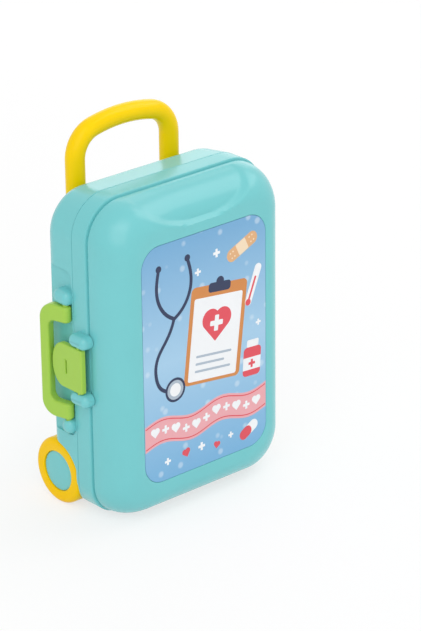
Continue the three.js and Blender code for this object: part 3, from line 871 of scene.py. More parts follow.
def stand_rib():
    """The rib that the case stands on, and the block that ties it to the shell's floor."""
    inside = 0.05 * mm
    return [
        block((-stand_half, -stand_front, 0), (stand_half, stand_back, case_bottom - side_gap)),
        block(
            (-stand_half + inside, seam, inside),
            (stand_half - inside, stand_back - inside, case_bottom + wall / 2),
        ),
    ]


def make_rear_shell():
    body = cut_all(rear_outer(), rear_cuts())
    cut_all(body, [cut_all(rear_hollow(), hollow_fills())])
    add_all(body, [lip_ring(), *rear_lugs(), catch_rib(), *rear_knuckles()])
    add_all(body, stand_rib() + skids(skid_near, skid_far))
    sockets = stub_sockets(
        carry_pivot,
        carry_arm_outer + side_gap,
        carry_stub + running_gap,
        carry_stub_length + running_gap,
    )
    cut_all(body, sockets + hinge_bores())
    return smooth(body, "rear_shell_moulding")


def screw_heights():
    low = housing_low.z + screw_edge
    high = housing_high.z - screw_edge
    return [low, (low + high) / 2, high]


# Handles, latch, wheels and label


def make_carry_handle():
    """Drawn about its own pivot and folded straight back, then turned to the photographed angle."""
    end = carry_thickness / 2
    body = block(
        (-end, -3 * end, -carry_arm_outer),
        (end, carry_reach, carry_arm_outer),
        [(lambda e: parallel_to(0)(e) and middle(e).y > 0, carry_outer_corner, 14)],
    )
    gap = block(
        (-2 * end, -8 * end, -carry_arm_inner),
        (2 * end, carry_reach - carry_grip, carry_arm_inner),
        [(parallel_to(0), carry_inner_corner, 10)],
    )
    cut_all(body, [gap])
    limit = math.radians(40)
    finish_modifier(body, "BEVEL", width=carry_edge, segments=6, limit_method="ANGLE", angle_limit=limit)
    inside = 0.02 * mm
    flat = 6 * inside
    before = block((-2 * end, -9 * end, -2 * carry_arm_outer), (2 * end, flat, 2 * carry_arm_outer))
    cut_all(body, [before])
    noses = []
    for side in (-1, 1):
        low, high = sorted((side * carry_arm_inner, side * carry_arm_outer))
        nose = rod(2, (0, 0, 0), low + inside, high - inside, end - inside, 64)
        rim = lambda e: abs(along(e).z) < 0.01
        noses.append(rounded(nose, [(rim, carry_edge, 6)]))
    add_all(body, noses)
    root = carry_arm_outer - carry_stub_root
    tip = carry_arm_outer + carry_stub_length
    add_all(body, [rod(2, (0, 0, 0), side * root, side * tip, carry_stub, 32) for side in (-1, 1)])
    body.rotation_euler.z = carry_rest_angle
    body.location = carry_pivot
    return smooth(apply_place(body), "carry_grip")


def make_latch():
    """A D-shaped plate about its own pin, with its finger rib, its hook and the stubs it turns on."""
    inner = latch_inside
    outer = -latch_outside
    back = lambda e: parallel_to(0)(e) and middle(e).y > 0
    front = lambda e: parallel_to(0)(e) and middle(e).y < 0
    rim = lambda side: lambda e: all(abs(v.co.x - side) < 0.01 * mm for v in e.verts)
    plate = block(
        (outer, -latch_front * latch_stretch, -latch_half),
        (inner, latch_tail * latch_stretch, latch_half),
        [(back, latch_tail_corner, 20), (front, latch_front_corner, 5)],
    )
    plate.scale.y = 1 / latch_stretch
    rounded(apply_place(plate), [(rim(outer), latch_outer_edge, 5), (rim(inner), latch_inner_edge, 3)])
    sunk = 0.1 * mm
    hook = block(
        (sunk, hook_start, -hook_half),
        (-latch_pivot.x - side_x - catch_proud - seat_gap, hook_start + hook_length, hook_half),
    )
    rib = block(
        (outer - rib_proud, rib_start, -rib_half),
        (-sunk, rib_start + rib_width, rib_half),
        [(lambda e: middle(e).x < outer, rib_edge, 3)],
    )
    slot = block(
        (outer - overrun, slot_start, -slot_half),
        (outer + slot_depth, slot_start + slot_width, slot_half),
        [(parallel_to(0), slot_corner, 3)],
    )
    tip = latch_half + latch_stub_length
    stub = rod(2, (0, 0, 0), -tip, tip, latch_stub, 32)
    add_all(plate, [hook, rib, stub])
    cut_all(plate, [slot])
    plate.location = latch_pivot
    return smooth(apply_place(plate), "latch_tab")


def make_pull_handle():
    """A bent tube: a circle drawn up one leg, spun round the bends and the crown, and down the other."""
    bend = math.pi / 2 - crown_angle
    bend_width = handle_corner * (1 - math.cos(bend))
    crown_radius = (handle_span - bend_width) / math.sin(crown_angle)
    bend_z = handle_top - crown_radius * (1 - math.cos(crown_angle)) - handle_corner * math.sin(bend)
    start = Vector((-handle_span, handle_y, handle_low.z))
    bpy.ops.mesh.primitive_circle_add(vertices=40, radius=handle_radius, location=start)
    tube = apply_place(bpy.context.object)
    with editing(tube, "EDGE"):
        bpy.ops.mesh.select_all(action="SELECT")
        rise = (0, 0, bend_z - start.z)
        bpy.ops.mesh.extrude_region_move(TRANSFORM_OT_translate={"value": rise})
        spin(12, bend, (start.x + handle_corner, handle_y, bend_z))
        spin(10, 2 * crown_angle, (0, handle_y, handle_top - crown_radius))
        spin(12, bend, (-start.x - handle_corner, handle_y, bend_z))
        bpy.ops.mesh.extrude_region_move(TRANSFORM_OT_translate={"value": tuple(-v for v in rise)})
    with editing(tube, "EDGE"):
        select("edges", lambda e: e.is_boundary)
        bpy.ops.mesh.edge_face_add()
    outward(tube)
    with editing(tube, "FACE"):
        select("faces", lambda f: f.normal.z < -0.9 and len(f.verts) > 8)
        bpy.ops.mesh.inset(thickness=handle_radius - handle_bore, use_individual=True)
        bpy.ops.mesh.extrude_region_move(TRANSFORM_OT_translate={"value": (0, 0, handle_bore_depth)})
    return smooth(tube, "pull_tube", 40)


def spin(steps, angle, centre):
    bpy.ops.mesh.spin(steps=steps, angle=-angle, center=centre, axis=(0, 1, 0))


def housing_raised():
    """The two sleeves that the handle's legs run in, and the raised bridge between them."""
    low = housing_low.z
    high = housing_high.z
    sleeve_low = low + housing_corner / 2
    inside = 0.05 * mm
    parts = []
    for x in (-handle_span, handle_span):
        parts.append(rod(2, (x, handle_y, 0), sleeve_low, high, sleeve_outer, 64))
        parts.append(
            block(
                (x - sleeve_outer, housing_front + seat_gap, sleeve_low + inside),
                (x + sleeve_outer, handle_y, high - inside),
            )
        )
    parts.append(
        block(
            (-bridge_half, housing_front + housing_plate / 2, low + housing_corner),
            (bridge_half, housing_front + housing_plate + bridge_proud, high - housing_corner),
            [
                (parallel_to(1), housing_corner, 10),
                (lambda e: all(v.co.y > housing_front + housing_plate for v in e.verts), bridge_edge, 5),
            ],
        )
    )
    return parts


def housing_channels():
    """What is cut from the sleeves: all before the plate, the stops' channels and the legs' bores."""
    high = housing_high.z
    channel_low = stop_low.z - seat_gap
    channel_high = high - guide_length
    inside = 0.02 * mm
    bore = handle_radius + side_gap
    cuts = [
        block(
            (-housing_half, housing_front - 2 * sleeve_inner, housing_low.z - overrun),
            (housing_half, housing_front, high + overrun),
        )
    ]
    for x in (-handle_span, handle_span):
        cuts.append(rod(2, (x, handle_y, 0), channel_low, channel_high, sleeve_inner, 64))
        cuts.append(
            block(
                (x - sleeve_inner, housing_front - overrun, channel_low + inside),
                (x + sleeve_inner, handle_y, channel_high - inside),
            )
        )
        cuts.append(rod(2, (x, handle_y, 0), channel_low + 1 * mm, high + overrun, bore, 64))
    return cuts


def make_housing():
    plate = block(
        (-housing_half, housing_front, housing_low.z),
        (housing_half, housing_front + housing_plate, housing_high.z),
        [
            (parallel_to(1), housing_corner, 10),
            (lambda e: all(v.co.y > housing_front + seat_gap for v in e.verts), plate_edge, 4),
        ],
    )
    end = housing_front + housing_plate + overrun
    holes = [rod(1, (x, 0, z), housing_front - overrun, end, screw_hole, 24) for x, z in screw_places()]
    cut_all(plate, holes)
    add_all(plate, housing_raised())
    return smooth(cut_all(plate, housing_channels()), "handle_guide")


def make_screw():
    """One cover screw along Y, with a rounded head and a cross recess, and the screw's middle."""
    low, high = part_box("housing_screw_1")
    centre = (low + high) / 2
    head_radius = (high.x - low.x) / 2
    head_start = housing_front + housing_plate
    head_height = high.y - head_start
    near = 0.01 * mm
    shank = rod(1, centre, low.y, head_start + head_height / 10, screw_shank, 24)
    tip = lambda e: all(v.co.y < low.y + near for v in e.verts)
    rounded(shank, [(tip, screw_tip, 3)])
    head = rod(1, centre, head_start, high.y, head_radius, 32)
    crown = lambda e: all(v.co.y > high.y - near for v in e.verts)
    rounded(head, [(crown, head_height * screw_crown_share, 5)])
    add_all(head, [shank])
    top = Vector((centre.x, high.y, centre.z))
    depth = Vector((0, head_height * cross_depth_share, 0))
    cross = []
    for across, up in ((cross_long_share, cross_short_share), (cross_short_share, cross_long_share)):
        half = Vector((across * head_radius, 0, up * head_radius))
        cross.append(block(top - half - depth, top + half + depth))
    return smooth(cut_all(head, cross), "cover_screw_1"), centre


def make_wheel():
    """The right wheel: a cylinder with a hub pocket and a hollow back drawn in, and round edges."""
    wheel = rod(0, wheel_middle, wheel_low.x, wheel_face, wheel_radius, 96)
    front = lambda f: f.normal.x > 0.9
    back = lambda f: f.normal.x < -0.9
    pocket = cap_radius + seat_gap
    draw_in(wheel, front, [(pocket, -cap_pocket), (nut_room, -nut_depth)])
    draw_in(wheel, back, [(wheel_radius - rim_thickness, wheel_hollow), (hub_radius, -wheel_hollow)])
    with editing(wheel, "EDGE"):
        select("edges", lambda e: on_circle(e, wheel_face, wheel_radius))
        bpy.ops.mesh.bevel(offset=wheel_edge, segments=10, affect="EDGES")
    with editing(wheel, "EDGE"):
        select("edges", lambda e: on_circle(e, wheel_low.x, wheel_radius))
        bpy.ops.mesh.bevel(offset=wheel_edge / 2, segments=6, affect="EDGES")
    with editing(wheel, "EDGE"):
        select("edges", lambda e: on_circle(e, wheel_face, pocket))
        bpy.ops.mesh.bevel(offset=cap_pocket_edge, segments=4, affect="EDGES")
    cut_all(wheel, [rod(0, wheel_middle, wheel_low.x - overrun, wheel_face + overrun, axle_bore, 32)])
    return smooth(wheel, "tyre_right", 35)


def radius_of(point):
    return math.hypot(point.y - wheel_middle.y, point.z - wheel_middle.z)


def on_circle(edge, x, radius):
    near = 0.05 * mm
    return all(abs(v.co.x - x) < near and abs(radius_of(v.co) - radius) < near for v in edge.verts)


def draw_in(wheel, test, steps):
    """Insets a wheel's end face to each radius in turn, and moves what is inside along X."""
    with editing(wheel, "FACE"):
        select("faces", test)
        now = wheel_radius
        for radius, move in steps:
            bpy.ops.mesh.inset(thickness=now - radius)
            bpy.ops.mesh.extrude_region_move(TRANSFORM_OT_translate={"value": (move, 0, 0)})
            now = radius


def make_hub_cap():
    """The right hub cap: a disc whose face rises to a low dome, ring by ring."""
    rim_x = cap_high.x - cap_dome
    cap = rod(0, wheel_middle, cap_low.x, rim_x, cap_radius, 96)
    with editing(cap, "FACE"):
        select("faces", lambda f: f.normal.x > 0.9)
        for inset, rise_share in cap_rings:
            bpy.ops.mesh.inset(thickness=inset * mm)
            bpy.ops.transform.translate(value=(rise_share * cap_dome, 0, 0))
    with editing(cap, "EDGE"):
        select("edges", lambda e: on_circle(e, rim_x, cap_radius))
        bpy.ops.mesh.bevel(offset=cap_edge, segments=4, affect="EDGES")
    return smooth(cap, "hub_disc_right", 40)


def make_label():
    outline = label_outline(0)
    back = -label_high.y
    front = -label_low.y
    rings = [
        (back, outline),
        (front - label_edge, outline),
        (front - label_edge / 3, label_outline(-label_edge / 3)),
        (front, label_outline(-label_edge)),
    ]
    return smooth(facing(loft(rings, arc_cuts=20), "-y"), "printed_card")


# Printed motifs, each a film that lies on the card


def print_depth(layer):
    return label_low.y - layer * ink_step


def bar(x, z, length, width, radius=0.0, turn=0.0, layer=1):
    """A rounded bar on the card, by its middle and its turn in degrees."""
    bpy.ops.mesh.primitive_plane_add(size=1)
    piece = bpy.context.object
    piece.scale = (length * mm, width * mm, 1)
    apply_place(piece)
    if radius:
        with editing(piece, "VERT"):
            bpy.ops.mesh.select_all(action="SELECT")
            bpy.ops.mesh.bevel(offset=radius * mm, segments=8, affect="VERTICES")
    piece.rotation_euler = (math.pi / 2, -math.radians(turn), 0)
    piece.location = (x * mm, print_depth(layer), z * mm)
    return apply_place(piece)


def spot(x, z, radius, layer=1, sides=48):
    bpy.ops.mesh.primitive_circle_add(
        vertices=sides,
        radius=radius * mm,
        fill_type="NGON",
        location=(x * mm, print_depth(layer), z * mm),
        rotation=(math.pi / 2, 0, 0),
    )
    return apply_place(bpy.context.object)


def plus(x, z, size, layer=1, turn=0.0):
    thick = size * 0.32
    return [bar(x, z, size, thick, thick * 0.2, turn + side, layer + side / 900) for side in (0, 90)]


def heart(x, z, size, layer=1, turn=0.0):
    """Two round lobes over a square that stands on its corner."""
    lobe = size / 4
    away = lobe / math.sqrt(2)
    parts = [bar(x, z, 2 * lobe, 2 * lobe, 0, 45 + turn, layer)]
    for k, side in enumerate((-1, 1), 1):
        parts.append(spot(*from_middle(x, z, turn, side * away, away), lobe, layer + k * 0.1))
    return parts


def from_middle(x, z, turn, along_it, across_it):
    """A place on a motif that is turned about its middle, as it falls on the card."""
    lean = math.radians(turn)
    return (
        x + along_it * math.cos(lean) - across_it * math.sin(lean),
        z + along_it * math.sin(lean) + across_it * math.cos(lean),
    )


def stroke(points, width, layer=1, kind="NURBS"):
    """A drawn line: a round path through points, pressed flat on the card."""
    bpy.ops.curve.primitive_nurbs_path_add(location=(0, 0, 0))
    piece = bpy.context.object
    path = piece.data
    path.splines.clear()
    spline = path.splines.new(kind)
    spline.points.add(len(points) - 1)
    for point, (x, z) in zip(spline.points, points):
        point.co = (x * mm, 0, z * mm, 1)
    if kind == "NURBS":
        spline.order_u = 4
        spline.use_endpoint_u = True
    spline.resolution_u = 10
    path.bevel_depth = width / 2 * mm
    path.bevel_resolution = 3
    path.use_fill_caps = True
    make_active(piece)
    bpy.ops.object.convert(target="MESH")
    piece = bpy.context.object
    piece.scale.y = ink_step / (width * mm)
    piece.location.y = print_depth(layer)
    return apply_place(piece)


def film(parts, name):
    """Joins the motifs of one colour, once the flat ones have a little body."""
    for part in parts:
        depths = [vertex.co.y for vertex in part.data.vertices]
        if max(depths) - min(depths) < ink_step / 10:
            finish_modifier(part, "SOLIDIFY", thickness=ink_step / 2, offset=-1)
    return smooth(join(parts), name, 30)


def clipboard():
    """A board with its clip, and a sheet with a heart, a cross and three written lines."""
    turn = clipboard_turn

    def at(u, v):
        return from_middle(clipboard_x, clipboard_z, turn, u, v)

    lines = [(0, -20, 42), (-4, -27, 34), (0, -34, 42)]
    return {
        "amber": [bar(*at(0, 0), 66, 92, 5, turn, 1)],
        "white": [bar(*at(0, -4), 57, 78, 2, turn, 2), *plus(*at(0, 9), 15, 4, turn)],
        "slate": [bar(*at(0, 43), 26, 9, 3, turn, 3), spot(*at(0, 48), 4.5, 3.3)],
        "coral": heart(*at(0, 6), 40, 3, turn),
        "grey": [bar(*at(u, v), length, 2.2, 1, turn, 3) for u, v, length in lines],
    }


def stethoscope():
    """Two ear tubes that meet in a hose, which swings down to the chest piece."""
    left_ear = (-53, 240)
    right_ear = (-20, 242)
    meeting = (-36, 190)
    chest = (-36, 122)
    tubes = [
        [left_ear, (-57, 224), (-55, 206), (-44, 194), meeting],
        [right_ear, (-14, 226), (-17, 206), (-28, 194), meeting],
        [(-36, 191), (-40, 176), (-57, 162), (-60, 140), (-52, 122), chest],
    ]
    ends = [spot(x, z + 1, 3.2, 5) for x, z in (left_ear, right_ear)]
    return {
        "slate": [*[stroke(points, 3.6, 4) for points in tubes], *ends, spot(*chest, 11.5, 5)],
        "grey": [spot(*chest, 9.2, 6)],
        "white": [spot(*chest, 6.2, 7)],
    }


def plaster():
    """A sticking plaster with its pad and its air holes."""
    x, z, turn = 44, 236, 24
    holes = [from_middle(x, z, turn, u, v) for u in (-14, -10.5, 10.5, 14) for v in (-2.6, 2.6)]
    return {
        "sand": [bar(x, z, 38, 12.5, 6, turn, 1)],
        "cream": [bar(x, z, 12, 12, 1, turn, 2), *[spot(*hole, 0.8, 2, 12) for hole in holes]],
    }


def thermometer():
    x, z, turn = 57, 196, 68
    column = from_middle(x, z, turn, -3.8, 0)
    bulb = from_middle(x, z, turn, -16.7, 0)
    return {
        "white": [bar(x, z, 40, 8, 4, turn, 2)],
        "coral": [bar(*column, 24, 2.2, 1, turn, 3), spot(*bulb, 3.2, 3.2)],
    }


def bottle():
    """A medicine bottle with its cap, and a cross on its label."""
    x, z, turn = 55, 122, -4
    cap = from_middle(x, z, turn, 0, 17.5)
    label = from_middle(x, z, turn, 0, -2)
    return {
        "coral": [bar(x, z, 21, 28, 4, turn, 3), *plus(*label, 8, 5, turn)],
        "white": [bar(*cap, 14, 7, 1.5, turn, 3.4), bar(*label, 21, 12, 0.3, turn, 4)],
    }


def capsule():
    x, z, turn = 50.75, 55.15, 30
    return {
        "coral": [bar(*from_middle(x, z, turn, -4.3, 0), 15, 10.5, 5.2, turn, 3)],
        "white": [bar(*from_middle(x, z, turn, 4.3, 0), 15, 10.5, 5.2, turn, 2.6)],
    }


def small_marks():
    """The small crosses and hearts strewn over the sky."""
    crosses = ((-6, 57, 8), (29, 57, 6), (-46, 55, 7), (-8, 226, 7), (14, 238, 8), (63, 158, 6))
    white = []
    for x, z, size in crosses:
        white += plus(x, z, size)
    return {"white": white, "coral": [*heart(-24, 56, 11, 2, 14), *heart(12, 52, 9, 2, -12)]}


def ribbon_edge(x, side, inset=0.0):
    """Height of the ribbon's upper (1) or lower (-1) edge, or of its middle (0), at x."""
    wave = ribbon_wave * math.sin(math.tau * x / ribbon_wave_length)
    return ribbon_z + wave + side * (ribbon_half - inset)


def ribbon():
    """The wavy rose ribbon across the card, with stitched edges and a row of hearts and crosses."""
    half_width = (label_high.x - label_low.x) / 2 / mm - 0.3
    strip = bar(0, ribbon_z, 2 * half_width, 2 * ribbon_half)
    with editing(strip, "EDGE"):
        select("edges", lambda e: abs(along(e).x) > 0.9)
        bpy.ops.mesh.subdivide(number_cuts=95)
    for vertex in strip.data.vertices:
        side = 1 if vertex.co.z > ribbon_z * mm else -1
        vertex.co.z = ribbon_edge(vertex.co.x / mm, side) * mm

    stitches = []
    for side in (-1, 1):
        points = [(x, ribbon_edge(x, side, ribbon_stitch_inset)) for x in range(-71, 72, 2)]
        stitches.append(stroke(points, 1.1, 2, "POLY"))
    row = []
    for x in range(-60, 61, 24):
        row += heart(x, ribbon_edge(x, 0), 12, 3)
    for x in range(-48, 49, 24):
        row += plus(x, ribbon_edge(x, 0), 8, 3)
    return {"rose": [strip], "coral": stitches, "white": row}


def motifs():
    """Every motif of the card's design, by the colour that it is printed in."""
    printed = {}
    for draw in (clipboard, stethoscope, plaster, thermometer, bottle, capsule, small_marks, ribbon):
        for colour, parts in draw().items():
            printed.setdefault(colour, []).extend(parts)
    return printed


# Materials


def srgb(red, green, blue):
    """A colour written as the eye reads it, from 0 to 255, as the shader wants it."""
    def linear(level):
        share = level / 255
        return share / 12.92 if share <= 0.04045 else ((share + 0.055) / 1.055) ** 2.4

    return (linear(red), linear(green), linear(blue), 1.0)


teal = srgb(115, 201, 204)
yellow = srgb(255, 212, 0)
green = srgb(164, 206, 78)
wheel_yellow = srgb(255, 204, 0)
sky_low = srgb(118, 178, 220)
sky_middle = srgb(166, 206, 234)
sky_high = srgb(116, 172, 214)
bubble_white = srgb(235, 245, 252)
dark_grey = srgb(74, 77, 80)
steel_grey = srgb(190, 194, 198)
swirl_scale = 28
gloss_scale = 95
peel_scale = 420
streak_scale = 1400
bubble_scale = 62


def new_material(name):
    material = bpy.data.materials.new(name)
    material.use_nodes = True
    return material, material.node_tree, material.node_tree.nodes["Principled BSDF"]


def add_node(tree, kind, settings=None, **inputs):
    node = tree.nodes.new(kind)
    for key, value in (settings or {}).items():
        setattr(node, key, value)
    for key, value in inputs.items():
        node.inputs[key.replace("_", " ")].default_value = value
    return node


def noise(tree, place, scale, detail=3.0):
    node = add_node(tree, "ShaderNodeTexNoise", Scale=scale, Detail=detail, Roughness=0.55)
    tree.links.new(place.outputs["Object"], node.inputs["Vector"])
    return node


def remap(tree, source, low, high):
    node = add_node(tree, "ShaderNodeMapRange")
    node.inputs["From Min"].default_value = 0.1
    node.inputs["From Max"].default_value = 0.9
    node.inputs["To Min"].default_value = low
    node.inputs["To Max"].default_value = high
    tree.links.new(source, node.inputs["Value"])
    return node.outputs["Result"]


def shade(colour, level):
    return tuple(min(channel * level, 1.0) for channel in colour[:3]) + (1.0,)


def plastic(name, colour, rough=(0.2, 0.28), swirl=0.025, orange_peel=0.03, gloss_level=0.5):
    """Moulded plastic: a faint flow swirl in the colour, a little orange peel and uneven gloss."""
    material, tree, shader = new_material(name)
    place = add_node(tree, "ShaderNodeTexCoord")
    flow = noise(tree, place, swirl_scale)
    mix = add_node(tree, "ShaderNodeMix", {"data_type": "RGBA"})
    mix.inputs[6].default_value = shade(colour, 1 - swirl)
    mix.inputs[7].default_value = shade(colour, 1 + swirl)
    tree.links.new(remap(tree, flow.outputs["Fac"], 0, 1), mix.inputs[0])
    tree.links.new(mix.outputs[2], shader.inputs["Base Color"])
    gloss = noise(tree, place, gloss_scale)
    tree.links.new(remap(tree, gloss.outputs["Fac"], *rough), shader.inputs["Roughness"])
    peel = noise(tree, place, peel_scale, 2)
    bump = add_node(tree, "ShaderNodeBump", Strength=orange_peel, Distance=0.0006)
    tree.links.new(peel.outputs["Fac"], bump.inputs["Height"])
    tree.links.new(bump.outputs["Normal"], shader.inputs["Normal"])
    shader.inputs["IOR"].default_value = 1.49
    shader.inputs["Specular IOR Level"].default_value = gloss_level
    return material


def steel_material():
    """Plain drawn steel, with fine streaks along its length."""
    material, tree, shader = new_material("drawn_steel")
    place = add_node(tree, "ShaderNodeTexCoord")
    stretch = add_node(tree, "ShaderNodeMapping", Scale=(1.0, 1.0, 0.05))
    tree.links.new(place.outputs["Object"], stretch.inputs["Vector"])
    streaks = add_node(tree, "ShaderNodeTexNoise", Scale=streak_scale, Detail=2)
    tree.links.new(stretch.outputs["Vector"], streaks.inputs["Vector"])
    tree.links.new(remap(tree, streaks.outputs["Fac"], 0.25, 0.42), shader.inputs["Roughness"])
    mix = add_node(tree, "ShaderNodeMix", {"data_type": "RGBA"})
    mix.inputs[6].default_value = shade(steel_grey, 0.85)
    mix.inputs[7].default_value = steel_grey
    tree.links.new(streaks.outputs["Fac"], mix.inputs[0])
    tree.links.new(mix.outputs[2], shader.inputs["Base Color"])
    shader.inputs["Metallic"].default_value = 1.0
    return material


def print_material():
    """The card's print: a blue sky that is deeper at its edges, with pale bubbles."""
    material, tree, shader = new_material("printed_sky")
    place = add_node(tree, "ShaderNodeTexCoord")
    split = add_node(tree, "ShaderNodeSeparateXYZ")
    tree.links.new(place.outputs["Object"], split.inputs["Vector"])
    height = add_node(tree, "ShaderNodeMapRange")
    height.inputs["From Min"].default_value = label_low.z
    height.inputs["From Max"].default_value = label_high.z
    tree.links.new(split.outputs["Z"], height.inputs["Value"])
    ramp = add_node(tree, "ShaderNodeValToRGB")
    stops = ramp.color_ramp.elements
    stops[0].color = sky_low
    stops[1].position = 1.0
    stops[1].color = sky_high
    stops.new(0.5).color = sky_middle
    tree.links.new(height.outputs["Result"], ramp.inputs["Fac"])
    bubbles = add_node(tree, "ShaderNodeTexVoronoi", Scale=bubble_scale, Randomness=1.0)
    tree.links.new(place.outputs["Object"], bubbles.inputs["Vector"])
    dots = add_node(tree, "ShaderNodeMapRange")
    dots.inputs["From Min"].default_value = 0.24
    dots.inputs["From Max"].default_value = 0.12
    dots.inputs["To Max"].default_value = 0.35
    tree.links.new(bubbles.outputs["Distance"], dots.inputs["Value"])
    mix = add_node(tree, "ShaderNodeMix", {"data_type": "RGBA"})
    mix.inputs[7].default_value = bubble_white
    tree.links.new(dots.outputs["Result"], mix.inputs[0])
    tree.links.new(ramp.outputs["Color"], mix.inputs[6])
    tree.links.new(mix.outputs[2], shader.inputs["Base Color"])
    shader.inputs["Roughness"].default_value = 0.32
    return material


def ink(name, colour):
    return plastic(name, colour, rough=(0.3, 0.36), swirl=0.03, orange_peel=0.01, gloss_level=0.3)


def give(piece, material):
    piece.data.materials.clear()
    piece.data.materials.append(material)
    return piece


def dress(piece, body, slot, material, *nodes):
    give(piece, material)
    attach(piece, body)
    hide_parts(*nodes)


teal_plastic = plastic("teal_moulding", teal)
yellow_plastic = plastic("yellow_moulding", yellow, rough=(0.1, 0.16), gloss_level=0.15)
green_plastic = plastic("green_moulding", green, rough=(0.26, 0.36), gloss_level=0.35)
tyre_plastic = plastic("tyre_moulding", wheel_yellow, rough=(0.26, 0.34), gloss_level=0.12)
grey_plastic = plastic("grey_moulding", dark_grey, rough=(0.4, 0.5))
steel = steel_material()

# Pieces
dress(make_rear_shell(), "case_body", "teal_plastic", teal_plastic, "rear_shell")
dress(make_lid(), "lid", "teal_plastic", teal_plastic, "front_lid")
dress(make_label(), "lid", "label", print_material(), "front_label")
inks = {
    "white": ink("ink_white", srgb(244, 246, 248)),
    "coral": ink("ink_coral", srgb(228, 84, 96)),
    "slate": ink("ink_slate", srgb(52, 62, 92)),
    "grey": ink("ink_grey", srgb(176, 190, 204)),
    "sand": ink("ink_sand", srgb(228, 178, 130)),
    "cream": ink("ink_cream", srgb(246, 222, 190)),
    "amber": ink("ink_amber", srgb(214, 140, 78)),
    "rose": ink("ink_rose", srgb(238, 172, 178)),
}
for colour, parts in motifs().items():
    piece = give(film(parts, f"print_{colour}"), inks[colour])
    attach(piece, "lid")
dress(make_housing(), "case_body", "teal_plastic", teal_plastic, "handle_housing")
screw, screw_place = make_screw()
for number in range(2, 7):
    low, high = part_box(f"housing_screw_{number}")
    twin = copied(screw)
    twin.location = (low + high) / 2 - screw_place
    twin = named(apply_place(twin), f"cover_screw_{number}")
    dress(twin, "case_body", "steel", steel, f"housing_screw_{number}")
dress(screw, "case_body", "steel", steel, "housing_screw_1")
dress(make_pull_handle(), "pull_handle", "yellow_plastic", yellow_plastic, "pull_handle")
dress(make_carry_handle(), "carry_handle", "green_plastic", green_plastic, "carry_handle")
dress(make_latch(), "latch", "green_plastic", green_plastic, "latch")
tyre = make_wheel()
hub = make_hub_cap()
for side, piece, hub_piece in (
    ("left", named(mirrored(tyre), "tyre_left"), named(mirrored(hub), "hub_disc_left")),
    ("right", tyre, hub),
):
    dress(piece, f"wheel_{side}", "wheel_plastic", tyre_plastic, f"wheel_{side}")
    dress(hub_piece, f"wheel_{side}", "teal_plastic", teal_plastic, f"hub_cap_{side}")
for name, node in frame["nodes"].items():
    if name.startswith("handle_stop"):
        give(node, grey_plastic)
    elif not node.hide_render:
        give(node, steel)

# Floor, light and camera


def light_paths(tree):
    """1 for what the camera sees directly, in a reflection or through something clear, else 0."""
    paths = add_node(tree, "ShaderNodeLightPath")
    seen = add_node(tree, "ShaderNodeMath", {"operation": "MAXIMUM"})
    bright = add_node(tree, "ShaderNodeMath", {"operation": "MAXIMUM"})
    tree.links.new(paths.outputs["Is Camera Ray"], seen.inputs[0])
    tree.links.new(paths.outputs["Is Glossy Ray"], seen.inputs[1])
    tree.links.new(seen.outputs[0], bright.inputs[0])
    tree.links.new(paths.outputs["Is Transmission Ray"], bright.inputs[1])
    return bright.outputs[0]


def floor_material():
    """White paper with a faint grain. It partly glows for the camera, so that its shadow stays pale."""
    material, tree, shader = new_material("pale_floor")
    place = add_node(tree, "ShaderNodeTexCoord")
    grain = noise(tree, place, 3)
    mix = add_node(tree, "ShaderNodeMix", {"data_type": "RGBA"})
    mix.inputs[6].default_value = (0.96, 0.96, 0.96, 1)
    mix.inputs[7].default_value = (0.97, 0.97, 0.97, 1)
    tree.links.new(grain.outputs["Fac"], mix.inputs[0])
    tree.links.new(mix.outputs[2], shader.inputs["Base Color"])
    shader.inputs["Roughness"].default_value = 0.9
    shader.inputs["Specular IOR Level"].default_value = 0.1
    glow = add_node(tree, "ShaderNodeEmission", Strength=1.0)
    share = add_node(tree, "ShaderNodeMath", {"operation": "MULTIPLY"})
    share.inputs[1].default_value = floor_glow_share
    tree.links.new(light_paths(tree), share.inputs[0])
    blend = add_node(tree, "ShaderNodeMixShader")
    tree.links.new(share.outputs[0], blend.inputs[0])
    tree.links.new(shader.outputs[0], blend.inputs[1])
    tree.links.new(glow.outputs[0], blend.inputs[2])
    tree.links.new(blend.outputs[0], tree.nodes["Material Output"].inputs["Surface"])
    return material


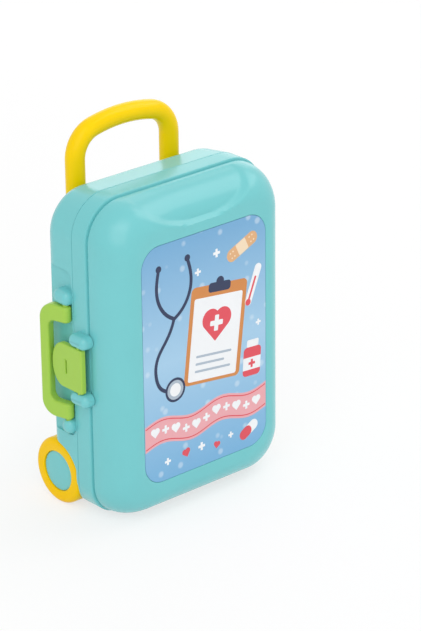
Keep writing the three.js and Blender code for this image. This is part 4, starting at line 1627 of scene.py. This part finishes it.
bpy.ops.mesh.primitive_plane_add(size=24, location=(0, 0, 0))
floor = give(named(apply_place(bpy.context.object), "floor"), floor_material())

world = bpy.data.worlds.new("studio")
bpy.context.scene.world = world
world.use_nodes = True
tree = world.node_tree
background = tree.nodes["Background"]
level = add_node(tree, "ShaderNodeMapRange")
level.inputs["To Min"].default_value = world_level
level.inputs["To Max"].default_value = 1.0
tree.links.new(light_paths(tree), level.inputs["Value"])
tree.links.new(level.outputs["Result"], background.inputs["Strength"])
background.inputs["Color"].default_value = (1, 1, 1, 1)


def aim(thing, target):
    direction = Vector(target) - thing.location
    thing.rotation_euler = direction.to_track_quat("-Z", "Y").to_euler()


def area_lamp(name, place, size, energy):
    bpy.ops.object.light_add(type="AREA", location=place)
    lamp = bpy.context.object
    lamp.name = name
    lamp.data.size = size
    lamp.data.energy = energy
    aim(lamp, (0, 0, case_middle))


bpy.ops.object.light_add(type="SUN", location=(-0.6, -0.8, 1.4))
sun = bpy.context.object
sun.data.energy = sun_level
sun.data.angle = math.radians(35)
aim(sun, (0, 0, 0))
area_lamp("softbox_left", (-1.15, -0.95, 1.2), size=1.5, energy=8)
area_lamp("softbox_above", (0.85, -0.28, 1.25), size=0.9, energy=4)
area_lamp("softbox_behind", (1.0, 1.15, 0.85), size=1.3, energy=3.5)


def make_camera():
    azimuth = camera_azimuth
    away = math.cos(camera_elevation)
    back = Vector((math.sin(azimuth) * away, -math.cos(azimuth) * away, math.sin(camera_elevation)))
    right = Vector((math.cos(azimuth), math.sin(azimuth), 0))
    up = back.cross(right)
    turned_right = right * math.cos(camera_roll) + up * math.sin(camera_roll)
    turned_up = up * math.cos(camera_roll) - right * math.sin(camera_roll)
    bpy.ops.object.camera_add(location=camera_target + back * camera_distance)
    camera = bpy.context.object
    axes = Matrix((turned_right, turned_up, back)).transposed()
    camera.rotation_euler = axes.to_euler()
    camera.data.lens = camera_lens
    camera.data.sensor_width = 36
    camera.data.clip_end = 100
    bpy.context.scene.camera = camera


make_camera()
bpy.context.scene.view_settings.view_transform = "Standard"
